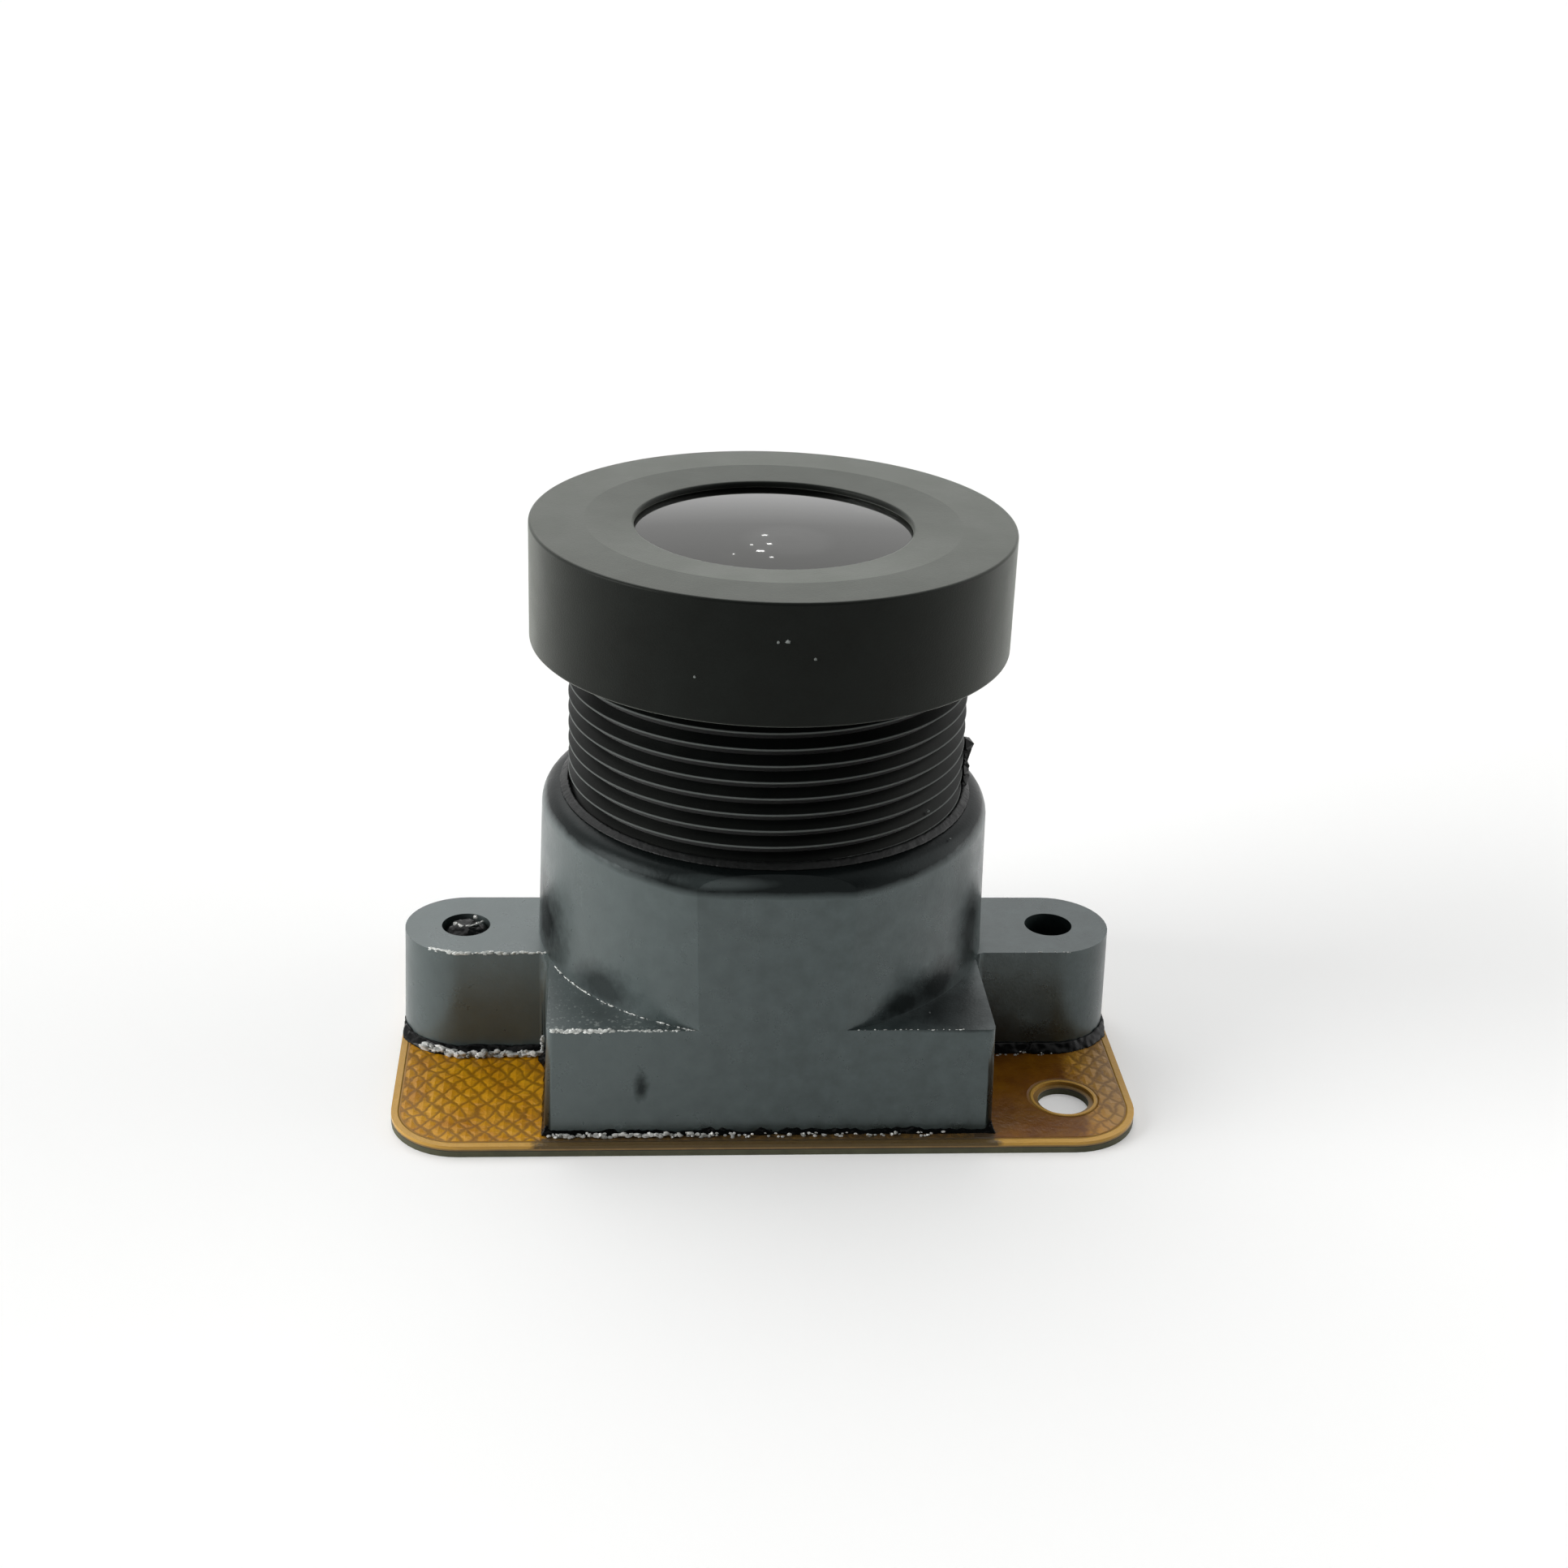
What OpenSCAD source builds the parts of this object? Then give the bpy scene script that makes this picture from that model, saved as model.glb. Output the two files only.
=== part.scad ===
// Board-mounted camera module: a screw-in lens in a moulded holder on a stiffened flexible board.
// Frame: origin on the lens axis at the board's underside, +Z along the lens axis, millimetres.
// +X runs along the line of the two ears; -Y is the side with the locating hole.

/* [Board] */
// margin of the board beyond the ears' tops at its two ends
board_end_margin = 0.12; // [0.12:0.02:1.6]
// margin of the board beyond the block's top at its front and back
board_front_margin = 0.71; // [0.55:0.01:2]
// radius of the board's four corners
board_corner_radius = 2.1; // [1:0.1:3]
// thickness of the stiffener plate under the board
stiffener_thickness = 0.18; // [0.1:0.01:0.5]
// thickness of the adhesive sheet that holds the stiffener
adhesive_thickness = 0.03; // [0.02:0.01:0.06]
// thickness of the base film
base_film_thickness = 0.05; // [0.03:0.01:0.1]
// thickness of the copper sheet
copper_thickness = 0.03; // [0.02:0.01:0.05]
// thickness of the cover film over the copper
cover_film_thickness = 0.07; // [0.05:0.01:0.1]
// gap between the copper's edge and the board's edge
copper_edge_gap = 0.25; // [0.15:0.05:0.5]

/* [Locating hole] */
// diameter of the locating hole through the board
locating_hole_diameter = 1.56; // [1:0.02:1.8]
// distance of the locating hole's centre from the board's right-hand edge
locating_hole_end_distance = 2.07; // [1.9:0.01:2.15]
// distance of the locating hole's centre from the board's front edge
locating_hole_front_distance = 2.47; // [2:0.01:2.6]
// radial gap between the hole's wall and the cover film
cover_film_hole_gap = 0.15; // [0.05:0.01:0.2]
// radial gap between the hole's wall and the copper
copper_hole_gap = 0.28; // [0.22:0.01:0.4]

/* [Holder block] */
// wall between the lens bore and the block's sides, at the block's top
side_wall = 0.5; // [0.4:0.02:0.7]
// wall between the lens bore and the block's front and back, at the block's top
front_wall = 0.54; // [0.5:0.02:0.7]
// height of the block and the ears above the board
block_height = 3.43; // [3.3:0.01:4.5]
// mould draft of the sides, the ears and the tower
side_draft = 1.6; // [0.5:0.1:2]
// mould draft of the front and back faces
front_draft = 2.3; // [0.5:0.1:2.5]
// wall between the block's sides and the square cavity over the sensor
cavity_wall = 1.05; // [0.85:0.05:1.15]
// height of the cavity above the board
cavity_height = 2.6; // [2.4:0.1:2.8]

/* [Holder tower] */
// wall of the round tower where it meets the block
tower_wall = 0.88; // [0.8:0.02:1.15]
// height of the tower above the block
tower_height = 5.01; // [4.8:0.01:6]
// radius of the rounded shoulder at the tower's top
shoulder_radius = 0.65; // [0.3:0.05:0.65]
// radial gap between the lens thread and the bore
bore_gap = 0.05; // [0.02:0.01:0.06]
// diameter of the light opening in the web under the lens
web_opening_diameter = 8; // [7:0.1:8.4]
// thickness of the web between the filter pocket and the lens bore
web_thickness = 1.04; // [0.8:0.02:1.1]

/* [Ears] */
// distance between the centres of the two ear holes
ear_hole_spacing = 18.4; // [18:0.1:18.4]
// width of an ear at its top
ear_width = 3.76; // [3.2:0.02:3.76]
// diameter of the screw holes in the ears
ear_hole_diameter = 1.5; // [1.2:0.05:1.8]
// radius of the fillet where an ear meets the block
ear_fillet_radius = 0.35; // [0.2:0.05:0.5]

/* [Filter] */
// ledge between the cavity's wall and the infrared filter's edge
filter_ledge = 1; // [0.8:0.05:1.1]
// thickness of the infrared filter
filter_thickness = 0.3; // [0.2:0.02:0.3]
// gap between the filter and the wall of its pocket
filter_gap = 0.1; // [0.05:0.05:0.2]

/* [Image sensor] */
// gap between the sensor package and the cavity's wall
sensor_gap = 1.25; // [1:0.05:1.5]
// thickness of the package's base
package_thickness = 0.35; // [0.2:0.05:0.5]
// gap between the light-sensitive chip and the frame round it
chip_gap = 0.3; // [0.2:0.05:0.6]
// thickness of the light-sensitive chip
chip_thickness = 0.2; // [0.1:0.05:0.3]
// width of the wall of the frame between the base and the cover glass
frame_wall = 0.5; // [0.3:0.05:0.6]
// height of the frame between the base and the cover glass
frame_height = 0.45; // [0.4:0.05:0.6]
// thickness of the cover glass
cover_glass_thickness = 0.4; // [0.3:0.05:0.5]

/* [Board components] */
// length of a chip capacitor or a chip resistor
chip_part_length = 1; // [0.6:0.1:1.2]
// width of a chip capacitor or a chip resistor
chip_part_width = 0.5; // [0.3:0.05:0.6]
// height of a chip capacitor
capacitor_height = 0.5; // [0.3:0.05:0.8]
// height of a chip resistor
resistor_height = 0.35; // [0.2:0.05:0.5]
// distance between neighbouring capacitors or resistors
chip_part_pitch = 1.6; // [1.4:0.1:1.8]

/* [Lens barrel] */
// diameter of the lens head
head_diameter = 14.3; // [13:0.1:16]
// height of the lens head
head_height = 3.59; // [3.2:0.01:4.5]
// width of the bevel round the head's edges
head_bevel = 0.06; // [0.02:0.02:0.2]
// gap between the tower's top and the head's underside
head_gap = 4.75; // [4.4:0.05:6]
// length of the barrel inside the holder
barrel_engagement = 3.6; // [3:0.1:3.6]
// diameter of the opening in the head's face
opening_diameter = 8.18; // [7:0.02:9]
// diameter of the shallow dish in the head's face
dish_diameter = 11.08; // [10:0.02:12]
// depth of the shallow dish at the opening
dish_depth = 0.1; // [0.05:0.01:0.14]
// drop from the opening's edge to the front glass
glass_drop = 0.2; // [0.15:0.01:0.3]
// wall of the barrel between the thread's roots and the lens elements
barrel_wall = 0.81; // [0.75:0.01:0.85]
// radial gap between the lens elements and the barrel
element_gap = 0.02; // [0.01:0.01:0.05]

/* [Lens thread] */
// outer diameter of the lens thread
thread_diameter = 12; // [11.9:0.05:12]
// pitch of the lens thread
thread_pitch = 0.5; // [0.5:0.05:0.7]
// depth of the lens thread
thread_depth = 0.27; // [0.15:0.01:0.3]
// width of the flat on the thread's crest
thread_crest = 0.06; // [0.02:0.01:0.12]
// length under the head in which the thread runs out
thread_relief = 0.55; // [0.5:0.05:1]
// plain length at the barrel's lower end, below the thread
thread_lead = 0.25; // [0.2:0.05:0.6]
// angle at which the thread starts, counter-clockwise from +X
thread_start_angle = 133; // [0:1:359]

/* [Lens elements] */
// radius of curvature of the front glass
front_curve = 60; // [24:1:100]
// height of the front element at its edge
front_edge_height = 2.24; // [2:0.02:2.4]
// centre thickness of the front element
front_centre_thickness = 0.82; // [0.7:0.02:1]
// radius of curvature of the front element's hollow
front_hollow_curve = 4; // [3.8:0.1:4.4]
// height of the second element at its edge
second_edge_height = 1.9; // [1.8:0.1:2]
// radius of curvature of the second element's upper face
second_curve = 9; // [8:0.5:12]
// radius of curvature of the second element's hollow
second_hollow_curve = 2.6; // [2.4:0.1:2.8]
// depth of the second element's hollow
second_hollow_depth = 1.3; // [1:0.1:1.4]
// height of the spacer ring between the second and third elements
spacer_height = 0.8; // [0.6:0.1:1]
// inner diameter of the spacer ring
spacer_bore = 5.4; // [5.2:0.1:6]
// height of the third element at its edge
third_edge_height = 1.2; // [1:0.1:1.4]
// radius of curvature of both faces of the third element
third_curve = 7; // [6.6:0.1:9]
// thickness of the aperture stop
stop_thickness = 0.1; // [0.06:0.02:0.2]
// diameter of the hole in the aperture stop
stop_hole_diameter = 1.9; // [1.2:0.1:2.6]
// height of the stop ring that carries the aperture stop
stop_ring_height = 0.7; // [0.6:0.1:0.8]
// inner diameter of the stop ring
stop_ring_bore = 6; // [5.8:0.1:6.4]
// height of the fourth element at its edge
fourth_edge_height = 1.2; // [1:0.1:1.3]
// radius of curvature of the fourth element's lower face
fourth_curve = 8; // [7.5:0.5:12]
// height of the rear spacer ring
rear_spacer_height = 0.7; // [0.6:0.05:0.8]
// inner diameter of the rear spacer ring
rear_spacer_bore = 6; // [5.8:0.1:6.4]
// height of the rear element at its edge
rear_edge_height = 1; // [0.9:0.05:1.1]
// radius of curvature of the rear element's lower face
rear_curve = 9; // [8:0.5:12]
// diameter of the clear faces of the inner elements
clear_diameter = 5; // [4.4:0.1:5.2]
// height of the retaining ring behind the rear element
retainer_height = 0.6; // [0.4:0.05:0.8]
// inner diameter of the retaining ring
retainer_bore = 6.4; // [6:0.1:7]

/* [Adhesive] */
// width of the black bead round the holder's foot
bead_width = 0.3; // [0.15:0.05:0.4]
// height of the black bead round the holder's foot
bead_height = 0.28; // [0.15:0.01:0.4]
// width of the glue ring round the thread at the tower's top
lock_ring_width = 0.3; // [0.15:0.05:0.4]
// height of the glue ring round the thread
lock_ring_height = 0.16; // [0.1:0.02:0.3]
// height of the glue lump that climbs the thread
lump_height = 1.5; // [1:0.1:2]
// radius of the glue lump at its foot
lump_radius = 0.42; // [0.3:0.02:0.5]
// angle of the glue lump, counter-clockwise from +X
lump_angle = 12; // [0:1:359]
// drop from the left ear's top to the edge of the glue plug
plug_drop = 0.3; // [0.1:0.05:0.6]
// radius of curvature of the glue plug's top
plug_curve = 0.9; // [0.9:0.05:2]

/* [Hidden] */
$fn = 96;

// colours
plastic_black = [0.16, 0.17, 0.17];
barrel_black = [0.12, 0.13, 0.13];
film_amber = [0.66, 0.44, 0.12];
copper_colour = [0.72, 0.45, 0.2];
plate_grey = [0.5, 0.5, 0.48];
glass_tint = [0.6, 0.7, 0.72, 0.6];
glue_black = [0.06, 0.06, 0.06];
package_grey = [0.3, 0.3, 0.32];
chip_blue = [0.25, 0.28, 0.4];
capacitor_tan = [0.62, 0.5, 0.36];

// small overlap that makes cuts clean
cut = 0.5;
// thickness left at the thin edge of a bead
feather = 0.03;
// distance the bead stays inside the board's edge
edge_margin = 0.01;
// sides of the thread's polygon in plan
thread_sides = 48;
// steps over which the thread's ends fade out
fade_steps = 8;
// overlap of the threaded length into the head
rod_overlap = 0.3;
// shares of the glue lump's height and radius, from its foot to its top
lump_shares = [[0, 1], [0.22, 0.92], [0.42, 0.8], [0.6, 0.7], [0.76, 0.6]];
// number of capacitors in a row, and of resistors in a row
capacitors_per_row = 3;
resistors_per_row = 2;

// widths, from the lens thread outwards
root_radius = thread_diameter / 2 - thread_depth;
bore_radius = thread_diameter / 2 + bore_gap;
block_width = 2 * (bore_radius + side_wall);
block_depth = 2 * (bore_radius + front_wall);
board_width = ear_hole_spacing + ear_width + 2 * board_end_margin;
board_depth = block_depth + 2 * board_front_margin;
locating_hole_x = board_width / 2 - locating_hole_end_distance;
locating_hole_y = locating_hole_front_distance - board_depth / 2;
cavity_width = block_width - 2 * cavity_wall;
filter_width = cavity_width - 2 * filter_ledge;
sensor_width = cavity_width - 2 * sensor_gap;
chip_width = sensor_width - 2 * (frame_wall + chip_gap);
chip_part_row = (sensor_width + cavity_width) / 4;

// levels
adhesive_level = stiffener_thickness;
film_level = adhesive_level + adhesive_thickness;
copper_level = film_level + base_film_thickness;
board_top = copper_level + copper_thickness + cover_film_thickness;
block_top = board_top + block_height;
tower_top = block_top + tower_height;
cavity_top = board_top + cavity_height;
pocket_top = cavity_top + filter_thickness;
bore_floor = pocket_top + web_thickness;
barrel_bottom = tower_top - barrel_engagement;
head_bottom = tower_top + head_gap;
head_top = head_bottom + head_height;
opening_level = head_top - dish_depth;
glass_level = opening_level - glass_drop;

// lens stack, from the front down
front_bottom = glass_level - front_edge_height;
second_bottom = front_bottom - second_edge_height;
spacer_bottom = second_bottom - spacer_height;
third_bottom = spacer_bottom - third_edge_height;
stop_bottom = third_bottom - stop_thickness;
stop_ring_bottom = stop_bottom - stop_ring_height;
fourth_bottom = stop_ring_bottom - fourth_edge_height;
rear_spacer_bottom = fourth_bottom - rear_spacer_height;
rear_bottom = rear_spacer_bottom - rear_edge_height;
retainer_bottom = rear_bottom - retainer_height;

// radii and drafts
side_slope = tan(side_draft);
front_slope = tan(front_draft);
ear_radius = ear_width / 2;
ear_hole_x = ear_hole_spacing / 2;
tower_foot_radius = bore_radius + tower_wall;
tower_shoulder_radius = tower_foot_radius - side_slope * (tower_height - shoulder_radius);
element_radius = root_radius - barrel_wall - element_gap;
clear_radius = clear_diameter / 2;
locating_hole_radius = locating_hole_diameter / 2;
package_top = board_top + package_thickness;
glass_bottom = package_top + frame_height;

// ---------- shared shapes ----------

// rounded rectangle with true arcs
module rounded_plan(width, depth, radius) {
    square([width - 2 * radius, depth], center = true);
    square([width, depth - 2 * radius], center = true);
    for (sx = [-1, 1])
        for (sy = [-1, 1])
            translate([sx * (width / 2 - radius), sy * (depth / 2 - radius)])
                circle(radius);
}

// board outline, drawn in by a margin, with the locating hole cut a little wider
module board_sheet(level, thickness, margin, hole_gap) {
    translate([0, 0, level])
        linear_extrude(thickness)
            difference() {
                rounded_plan(board_width - 2 * margin, board_depth - 2 * margin, board_corner_radius - margin);
                translate([locating_hole_x, locating_hole_y])
                    circle(locating_hole_radius + hole_gap);
            }
}

// bar along X whose front and back faces lean in by a slope; widths are given at the reference level
module leaning_bar_x(half_depth, slope, reference, bottom, top, from_x, to_x) {
    low = half_depth + slope * (reference - bottom);
    high = half_depth + slope * (reference - top);
    translate([from_x, 0, 0])
        rotate([90, 0, 90])
            linear_extrude(to_x - from_x)
                polygon([[-low, bottom], [low, bottom], [high, top], [-high, top]]);
}

// the same bar along Y, with leaning sides
module leaning_bar_y(half_width, slope, reference, bottom, top, half_length) {
    low = half_width + slope * (reference - bottom);
    high = half_width + slope * (reference - top);
    translate([0, half_length, 0])
        rotate([90, 0, 0])
            linear_extrude(2 * half_length)
                polygon([[-low, bottom], [low, bottom], [high, top], [-high, top]]);
}

// block with four drafted faces, made wider all round by grow at the bottom and by grow_top at the top
module drafted_block(bottom, top, grow, grow_top) {
    lean = (grow - grow_top) / (top - bottom);
    intersection() {
        leaning_bar_x(block_depth / 2 + front_slope * (block_top - top) + grow_top, front_slope + lean,
                      top, bottom, top, -board_width / 2, board_width / 2);
        leaning_bar_y(block_width / 2 + side_slope * (block_top - top) + grow_top, side_slope + lean,
                      top, bottom, top, board_depth / 2);
    }
}

// one drafted ear on the right-hand side, made wider by grow at the bottom and by grow_top at the top
module drafted_ear(bottom, top, grow, grow_top) {
    low = ear_radius + side_slope * (block_top - bottom) + grow;
    high = ear_radius + side_slope * (block_top - top) + grow_top;
    translate([ear_hole_x, 0, bottom])
        cylinder(h = top - bottom, r1 = low, r2 = high);
    leaning_bar_x(high, (low - high) / (top - bottom), top, bottom, top, cavity_width / 2, ear_hole_x);
}

// fillet with the same draft in the corner between the right-hand ear and the block
module ear_fillet(bottom) {
    corner = block_width / 2;
    foot_radius = ear_fillet_radius - side_slope * (block_top - bottom);
    difference() {
        translate([corner - cut, ear_radius - cut, bottom])
            cube([ear_fillet_radius + cut, ear_fillet_radius + cut, block_top - bottom]);
        translate([corner + ear_fillet_radius, ear_radius + ear_fillet_radius, bottom])
            cylinder(h = block_top - bottom, r1 = foot_radius, r2 = ear_fillet_radius);
    }
}

// everything of the holder that stands on the board, without its hollows
module holder_foot() {
    drafted_block(board_top, block_top, 0, 0);
    for (side = [0, 1])
        mirror([side, 0, 0]) {
            drafted_ear(board_top, block_top, 0, 0);
            for (face = [0, 1])
                mirror([0, face, 0])
                    ear_fillet(board_top);
        }
}

// round tower with a rounded shoulder, cut flush with the block's front and back faces
module holder_tower() {
    intersection() {
        rotate_extrude()
            union() {
                polygon([[0, block_top - cut], [tower_foot_radius, block_top - cut], [tower_foot_radius, block_top],
                         [tower_shoulder_radius, tower_top - shoulder_radius],
                         [tower_shoulder_radius - shoulder_radius, tower_top - shoulder_radius],
                         [tower_shoulder_radius - shoulder_radius, tower_top], [0, tower_top]]);
                intersection() {
                    translate([tower_shoulder_radius - shoulder_radius, tower_top - shoulder_radius])
                        circle(shoulder_radius);
                    translate([tower_shoulder_radius - shoulder_radius, tower_top - shoulder_radius])
                        square(shoulder_radius);
                }
            }
        leaning_bar_x(block_depth / 2, front_slope, block_top, block_top, tower_top,
                      -tower_foot_radius, tower_foot_radius);
    }
}

// spherical cap that bulges upwards from a rim of the given radius
module cap_up(level, rim_radius, curve) {
    intersection() {
        translate([0, 0, level - sqrt(curve * curve - rim_radius * rim_radius)])
            sphere(curve);
        translate([0, 0, level])
            cylinder(h = rim_radius, r = rim_radius);
    }
}

// spherical cap that bulges downwards from a rim of the given radius
module cap_down(level, rim_radius, curve) {
    mirror([0, 0, 1])
        cap_up(-level, rim_radius, curve);
}

// flat disc of lens-element size
module element_disc(bottom, top) {
    translate([0, 0, bottom])
        cylinder(h = top - bottom, r = element_radius);
}

// flat ring of lens-element size
module element_ring(bottom, top, bore) {
    difference() {
        element_disc(bottom, top);
        translate([0, 0, bottom - cut])
            cylinder(h = top - bottom + 2 * cut, d = bore);
    }
}

// ---------- lens thread ----------

// A solid rod with one right-hand helical ridge. Each column of points follows the ridge at one angle,
// so the ridge's flanks are true helical strips, and the ridge fades to nothing at both ends.
module threaded_rod(length, lead, relief) {
    n = thread_sides;
    turns = floor((length - lead - relief) / thread_pitch);
    last = turns * n;
    function ridge(step) = thread_depth * max(0, min(1, min(step, last - step) / fade_steps));
    function polar(radius, j, z) = [radius * cos(360 * j / n), radius * sin(360 * j / n), z];
    function foot_z(step) = lead + thread_pitch * step / n;
    function turn_points(j, step) = [
        polar(root_radius, j, foot_z(step)),
        polar(root_radius + ridge(step), j, foot_z(step) + (thread_pitch - thread_crest) / 2),
        polar(root_radius + ridge(step), j, foot_z(step) + (thread_pitch + thread_crest) / 2)
    ];
    // column 0 carries one more turn than the others, because it both starts and ends the helix
    function column(j) = concat(
        [polar(root_radius, j, 0)],
        [for (m = [0 : (j == 0 ? turns : turns - 1)]) each turn_points(j, m * n + j)],
        [polar(root_radius, j, foot_z(((j == 0 ? turns + 1 : turns)) * n + j)), polar(root_radius, j, length)]
    );
    extra = 3;
    size = 3 * turns + 3;
    function at(j, k) = j == 0 ? k : size + extra + (j - 1) * size + k;
    points = [for (j = [0 : n - 1]) each column(j)];
    // strips between neighbouring columns
    inner = [for (j = [0 : n - 2]) for (k = [0 : size - 3])
        each [[at(j, k), at(j, k + 1), at(j + 1, k)], [at(j + 1, k), at(j, k + 1), at(j + 1, k + 1)]]];
    plain = [for (j = [1 : n - 2])
        each [[at(j, size - 2), at(j, size - 1), at(j + 1, size - 2)],
              [at(j + 1, size - 2), at(j, size - 1), at(j + 1, size - 1)]]];
    // upper plain strip beside column 0, whose edge has the extra points
    upper = concat(
        [for (k = [size - 2 : size + extra - 2]) [at(0, k), at(0, k + 1), at(1, size - 2)]],
        [[at(0, size + extra - 1), at(1, size - 1), at(1, size - 2)]]);
    // closing strips from the last column back to column 0, one turn higher
    closing = [for (k = [1 : size - 2])
        each [[at(n - 1, k), at(n - 1, k + 1), at(0, k + extra)],
              [at(0, k + extra), at(n - 1, k + 1), at(0, k + extra + 1)]]];
    lower = concat(
        [[at(n - 1, 0), at(n - 1, 1), at(0, 0)]],
        [for (k = [0 : extra]) [at(n - 1, 1), at(0, k + 1), at(0, k)]]);
    bottom_cap = [[for (j = [0 : n - 1]) at(j, 0)]];
    top_cap = [[for (j = [n - 1 : -1 : 0]) at(j, j == 0 ? size + extra - 1 : size - 1)]];
    polyhedron(points = points,
               faces = concat(inner, plain, upper, closing, lower, bottom_cap, top_cap), convexity = 10);
}

// ---------- board ----------

module stiffener_plate() {
    color(plate_grey)
        board_sheet(0, stiffener_thickness, 0, 0);
}

module stiffener_adhesive() {
    color(glue_black)
        board_sheet(adhesive_level, adhesive_thickness, 0, 0);
}

module base_film() {
    color(film_amber)
        board_sheet(film_level, base_film_thickness, 0, 0);
}

module copper_sheet() {
    color(copper_colour)
        board_sheet(copper_level, copper_thickness, copper_edge_gap, copper_hole_gap);
}

module cover_film() {
    color(film_amber)
        difference() {
            board_sheet(copper_level, board_top - copper_level, 0, cover_film_hole_gap);
            board_sheet(copper_level - cut, copper_thickness + cut, copper_edge_gap, copper_hole_gap);
        }
}

// ---------- image sensor ----------

module square_slab(width, level, thickness) {
    translate([-width / 2, -width / 2, level])
        cube([width, width, thickness]);
}

module sensor_package() {
    color(package_grey)
        square_slab(sensor_width, board_top, package_thickness);
}

module sensor_chip() {
    color(chip_blue)
        square_slab(chip_width, package_top, chip_thickness);
}

module sensor_frame() {
    color(package_grey)
        difference() {
            square_slab(sensor_width, package_top, frame_height);
            square_slab(sensor_width - 2 * frame_wall, package_top - cut, frame_height + 2 * cut);
        }
}

module sensor_cover_glass() {
    color(glass_tint)
        square_slab(sensor_width, glass_bottom, cover_glass_thickness);
}

// ---------- small parts in the cavity ----------

module chip_part(height) {
    translate([-chip_part_width / 2, -chip_part_length / 2, board_top])
        cube([chip_part_width, chip_part_length, height]);
}

module chip_row(count, height) {
    for (i = [0 : count - 1])
        translate([chip_part_row, (i - (count - 1) / 2) * chip_part_pitch, 0])
            chip_part(height);
}

module chip_capacitors() {
    color(capacitor_tan)
        for (side = [0, 1])
            mirror([side, 0, 0])
                chip_row(capacitors_per_row, capacitor_height);
}

module chip_resistors() {
    color(plastic_black)
        for (turn = [90, 270])
            rotate(turn)
                chip_row(resistors_per_row, resistor_height);
}

// ---------- lens holder ----------

module lens_holder() {
    color(plastic_black)
        difference() {
            union() {
                holder_foot();
                holder_tower();
            }
            square_slab(cavity_width, board_top - cut, cavity_height + cut);
            square_slab(filter_width + 2 * filter_gap, cavity_top - cut, filter_thickness + cut);
            translate([0, 0, pocket_top - cut])
                cylinder(h = web_thickness + 2 * cut, d = web_opening_diameter);
            translate([0, 0, bore_floor])
                cylinder(h = tower_top - bore_floor + cut, r = bore_radius);
            for (side = [-1, 1])
                translate([side * ear_hole_x, 0, board_top - cut])
                    cylinder(h = block_height + 2 * cut, d = ear_hole_diameter);
        }
}

module infrared_filter() {
    color(glass_tint)
        square_slab(filter_width, cavity_top, filter_thickness);
}

// ---------- lens ----------

module lens_barrel() {
    head_radius = head_diameter / 2;
    color(barrel_black)
        difference() {
            union() {
                rotate_extrude()
                    polygon([[0, head_bottom], [head_radius - head_bevel, head_bottom],
                             [head_radius, head_bottom + head_bevel], [head_radius, head_top - head_bevel],
                             [head_radius - head_bevel, head_top], [0, head_top]]);
                translate([0, 0, barrel_bottom])
                    rotate(thread_start_angle)
                        threaded_rod(head_bottom + rod_overlap - barrel_bottom, thread_lead,
                                     thread_relief + rod_overlap);
            }
            translate([0, 0, barrel_bottom - cut])
                cylinder(h = glass_level - barrel_bottom + cut, r = element_radius + element_gap);
            translate([0, 0, glass_level - cut])
                cylinder(h = 2 * cut + glass_drop, d = opening_diameter);
            rotate_extrude()
                polygon([[0, opening_level], [opening_diameter / 2, opening_level], [dish_diameter / 2, head_top],
                         [dish_diameter / 2, head_top + cut], [0, head_top + cut]]);
        }
}

module front_element() {
    color(glass_tint)
        difference() {
            union() {
                element_disc(front_bottom, glass_level);
                cap_up(glass_level, opening_diameter / 2, front_curve);
            }
            translate([0, 0, glass_level - front_centre_thickness - front_hollow_curve + front_sag()])
                sphere(front_hollow_curve);
        }
}

// rise of the front glass from its edge to its centre
function front_sag() = front_curve - sqrt(front_curve * front_curve - opening_diameter * opening_diameter / 4);

module second_element() {
    color(glass_tint)
        difference() {
            union() {
                element_disc(second_bottom, front_bottom);
                cap_up(front_bottom, clear_radius, second_curve);
            }
            translate([0, 0, second_bottom + second_hollow_depth - second_hollow_curve])
                sphere(second_hollow_curve);
        }
}

module spacer_ring() {
    color(barrel_black)
        element_ring(spacer_bottom, second_bottom, spacer_bore);
}

module third_element() {
    color(glass_tint) {
        element_disc(third_bottom, spacer_bottom);
        cap_up(spacer_bottom, clear_radius, third_curve);
    }
}

module aperture_stop() {
    color(barrel_black)
        element_ring(stop_bottom, third_bottom, stop_hole_diameter);
}

module stop_ring() {
    color(barrel_black)
        element_ring(stop_ring_bottom, stop_bottom, stop_ring_bore);
}

module fourth_element() {
    color(glass_tint) {
        element_disc(fourth_bottom, stop_ring_bottom);
        cap_down(fourth_bottom, clear_radius, fourth_curve);
    }
}

module rear_spacer() {
    color(barrel_black)
        element_ring(rear_spacer_bottom, fourth_bottom, rear_spacer_bore);
}

module rear_element() {
    color(glass_tint) {
        element_disc(rear_bottom, rear_spacer_bottom);
        cap_down(rear_bottom, clear_radius, rear_curve);
    }
}

module retaining_ring() {
    color(barrel_black)
        element_ring(retainer_bottom, rear_bottom, retainer_bore);
}

// ---------- adhesive ----------

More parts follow.
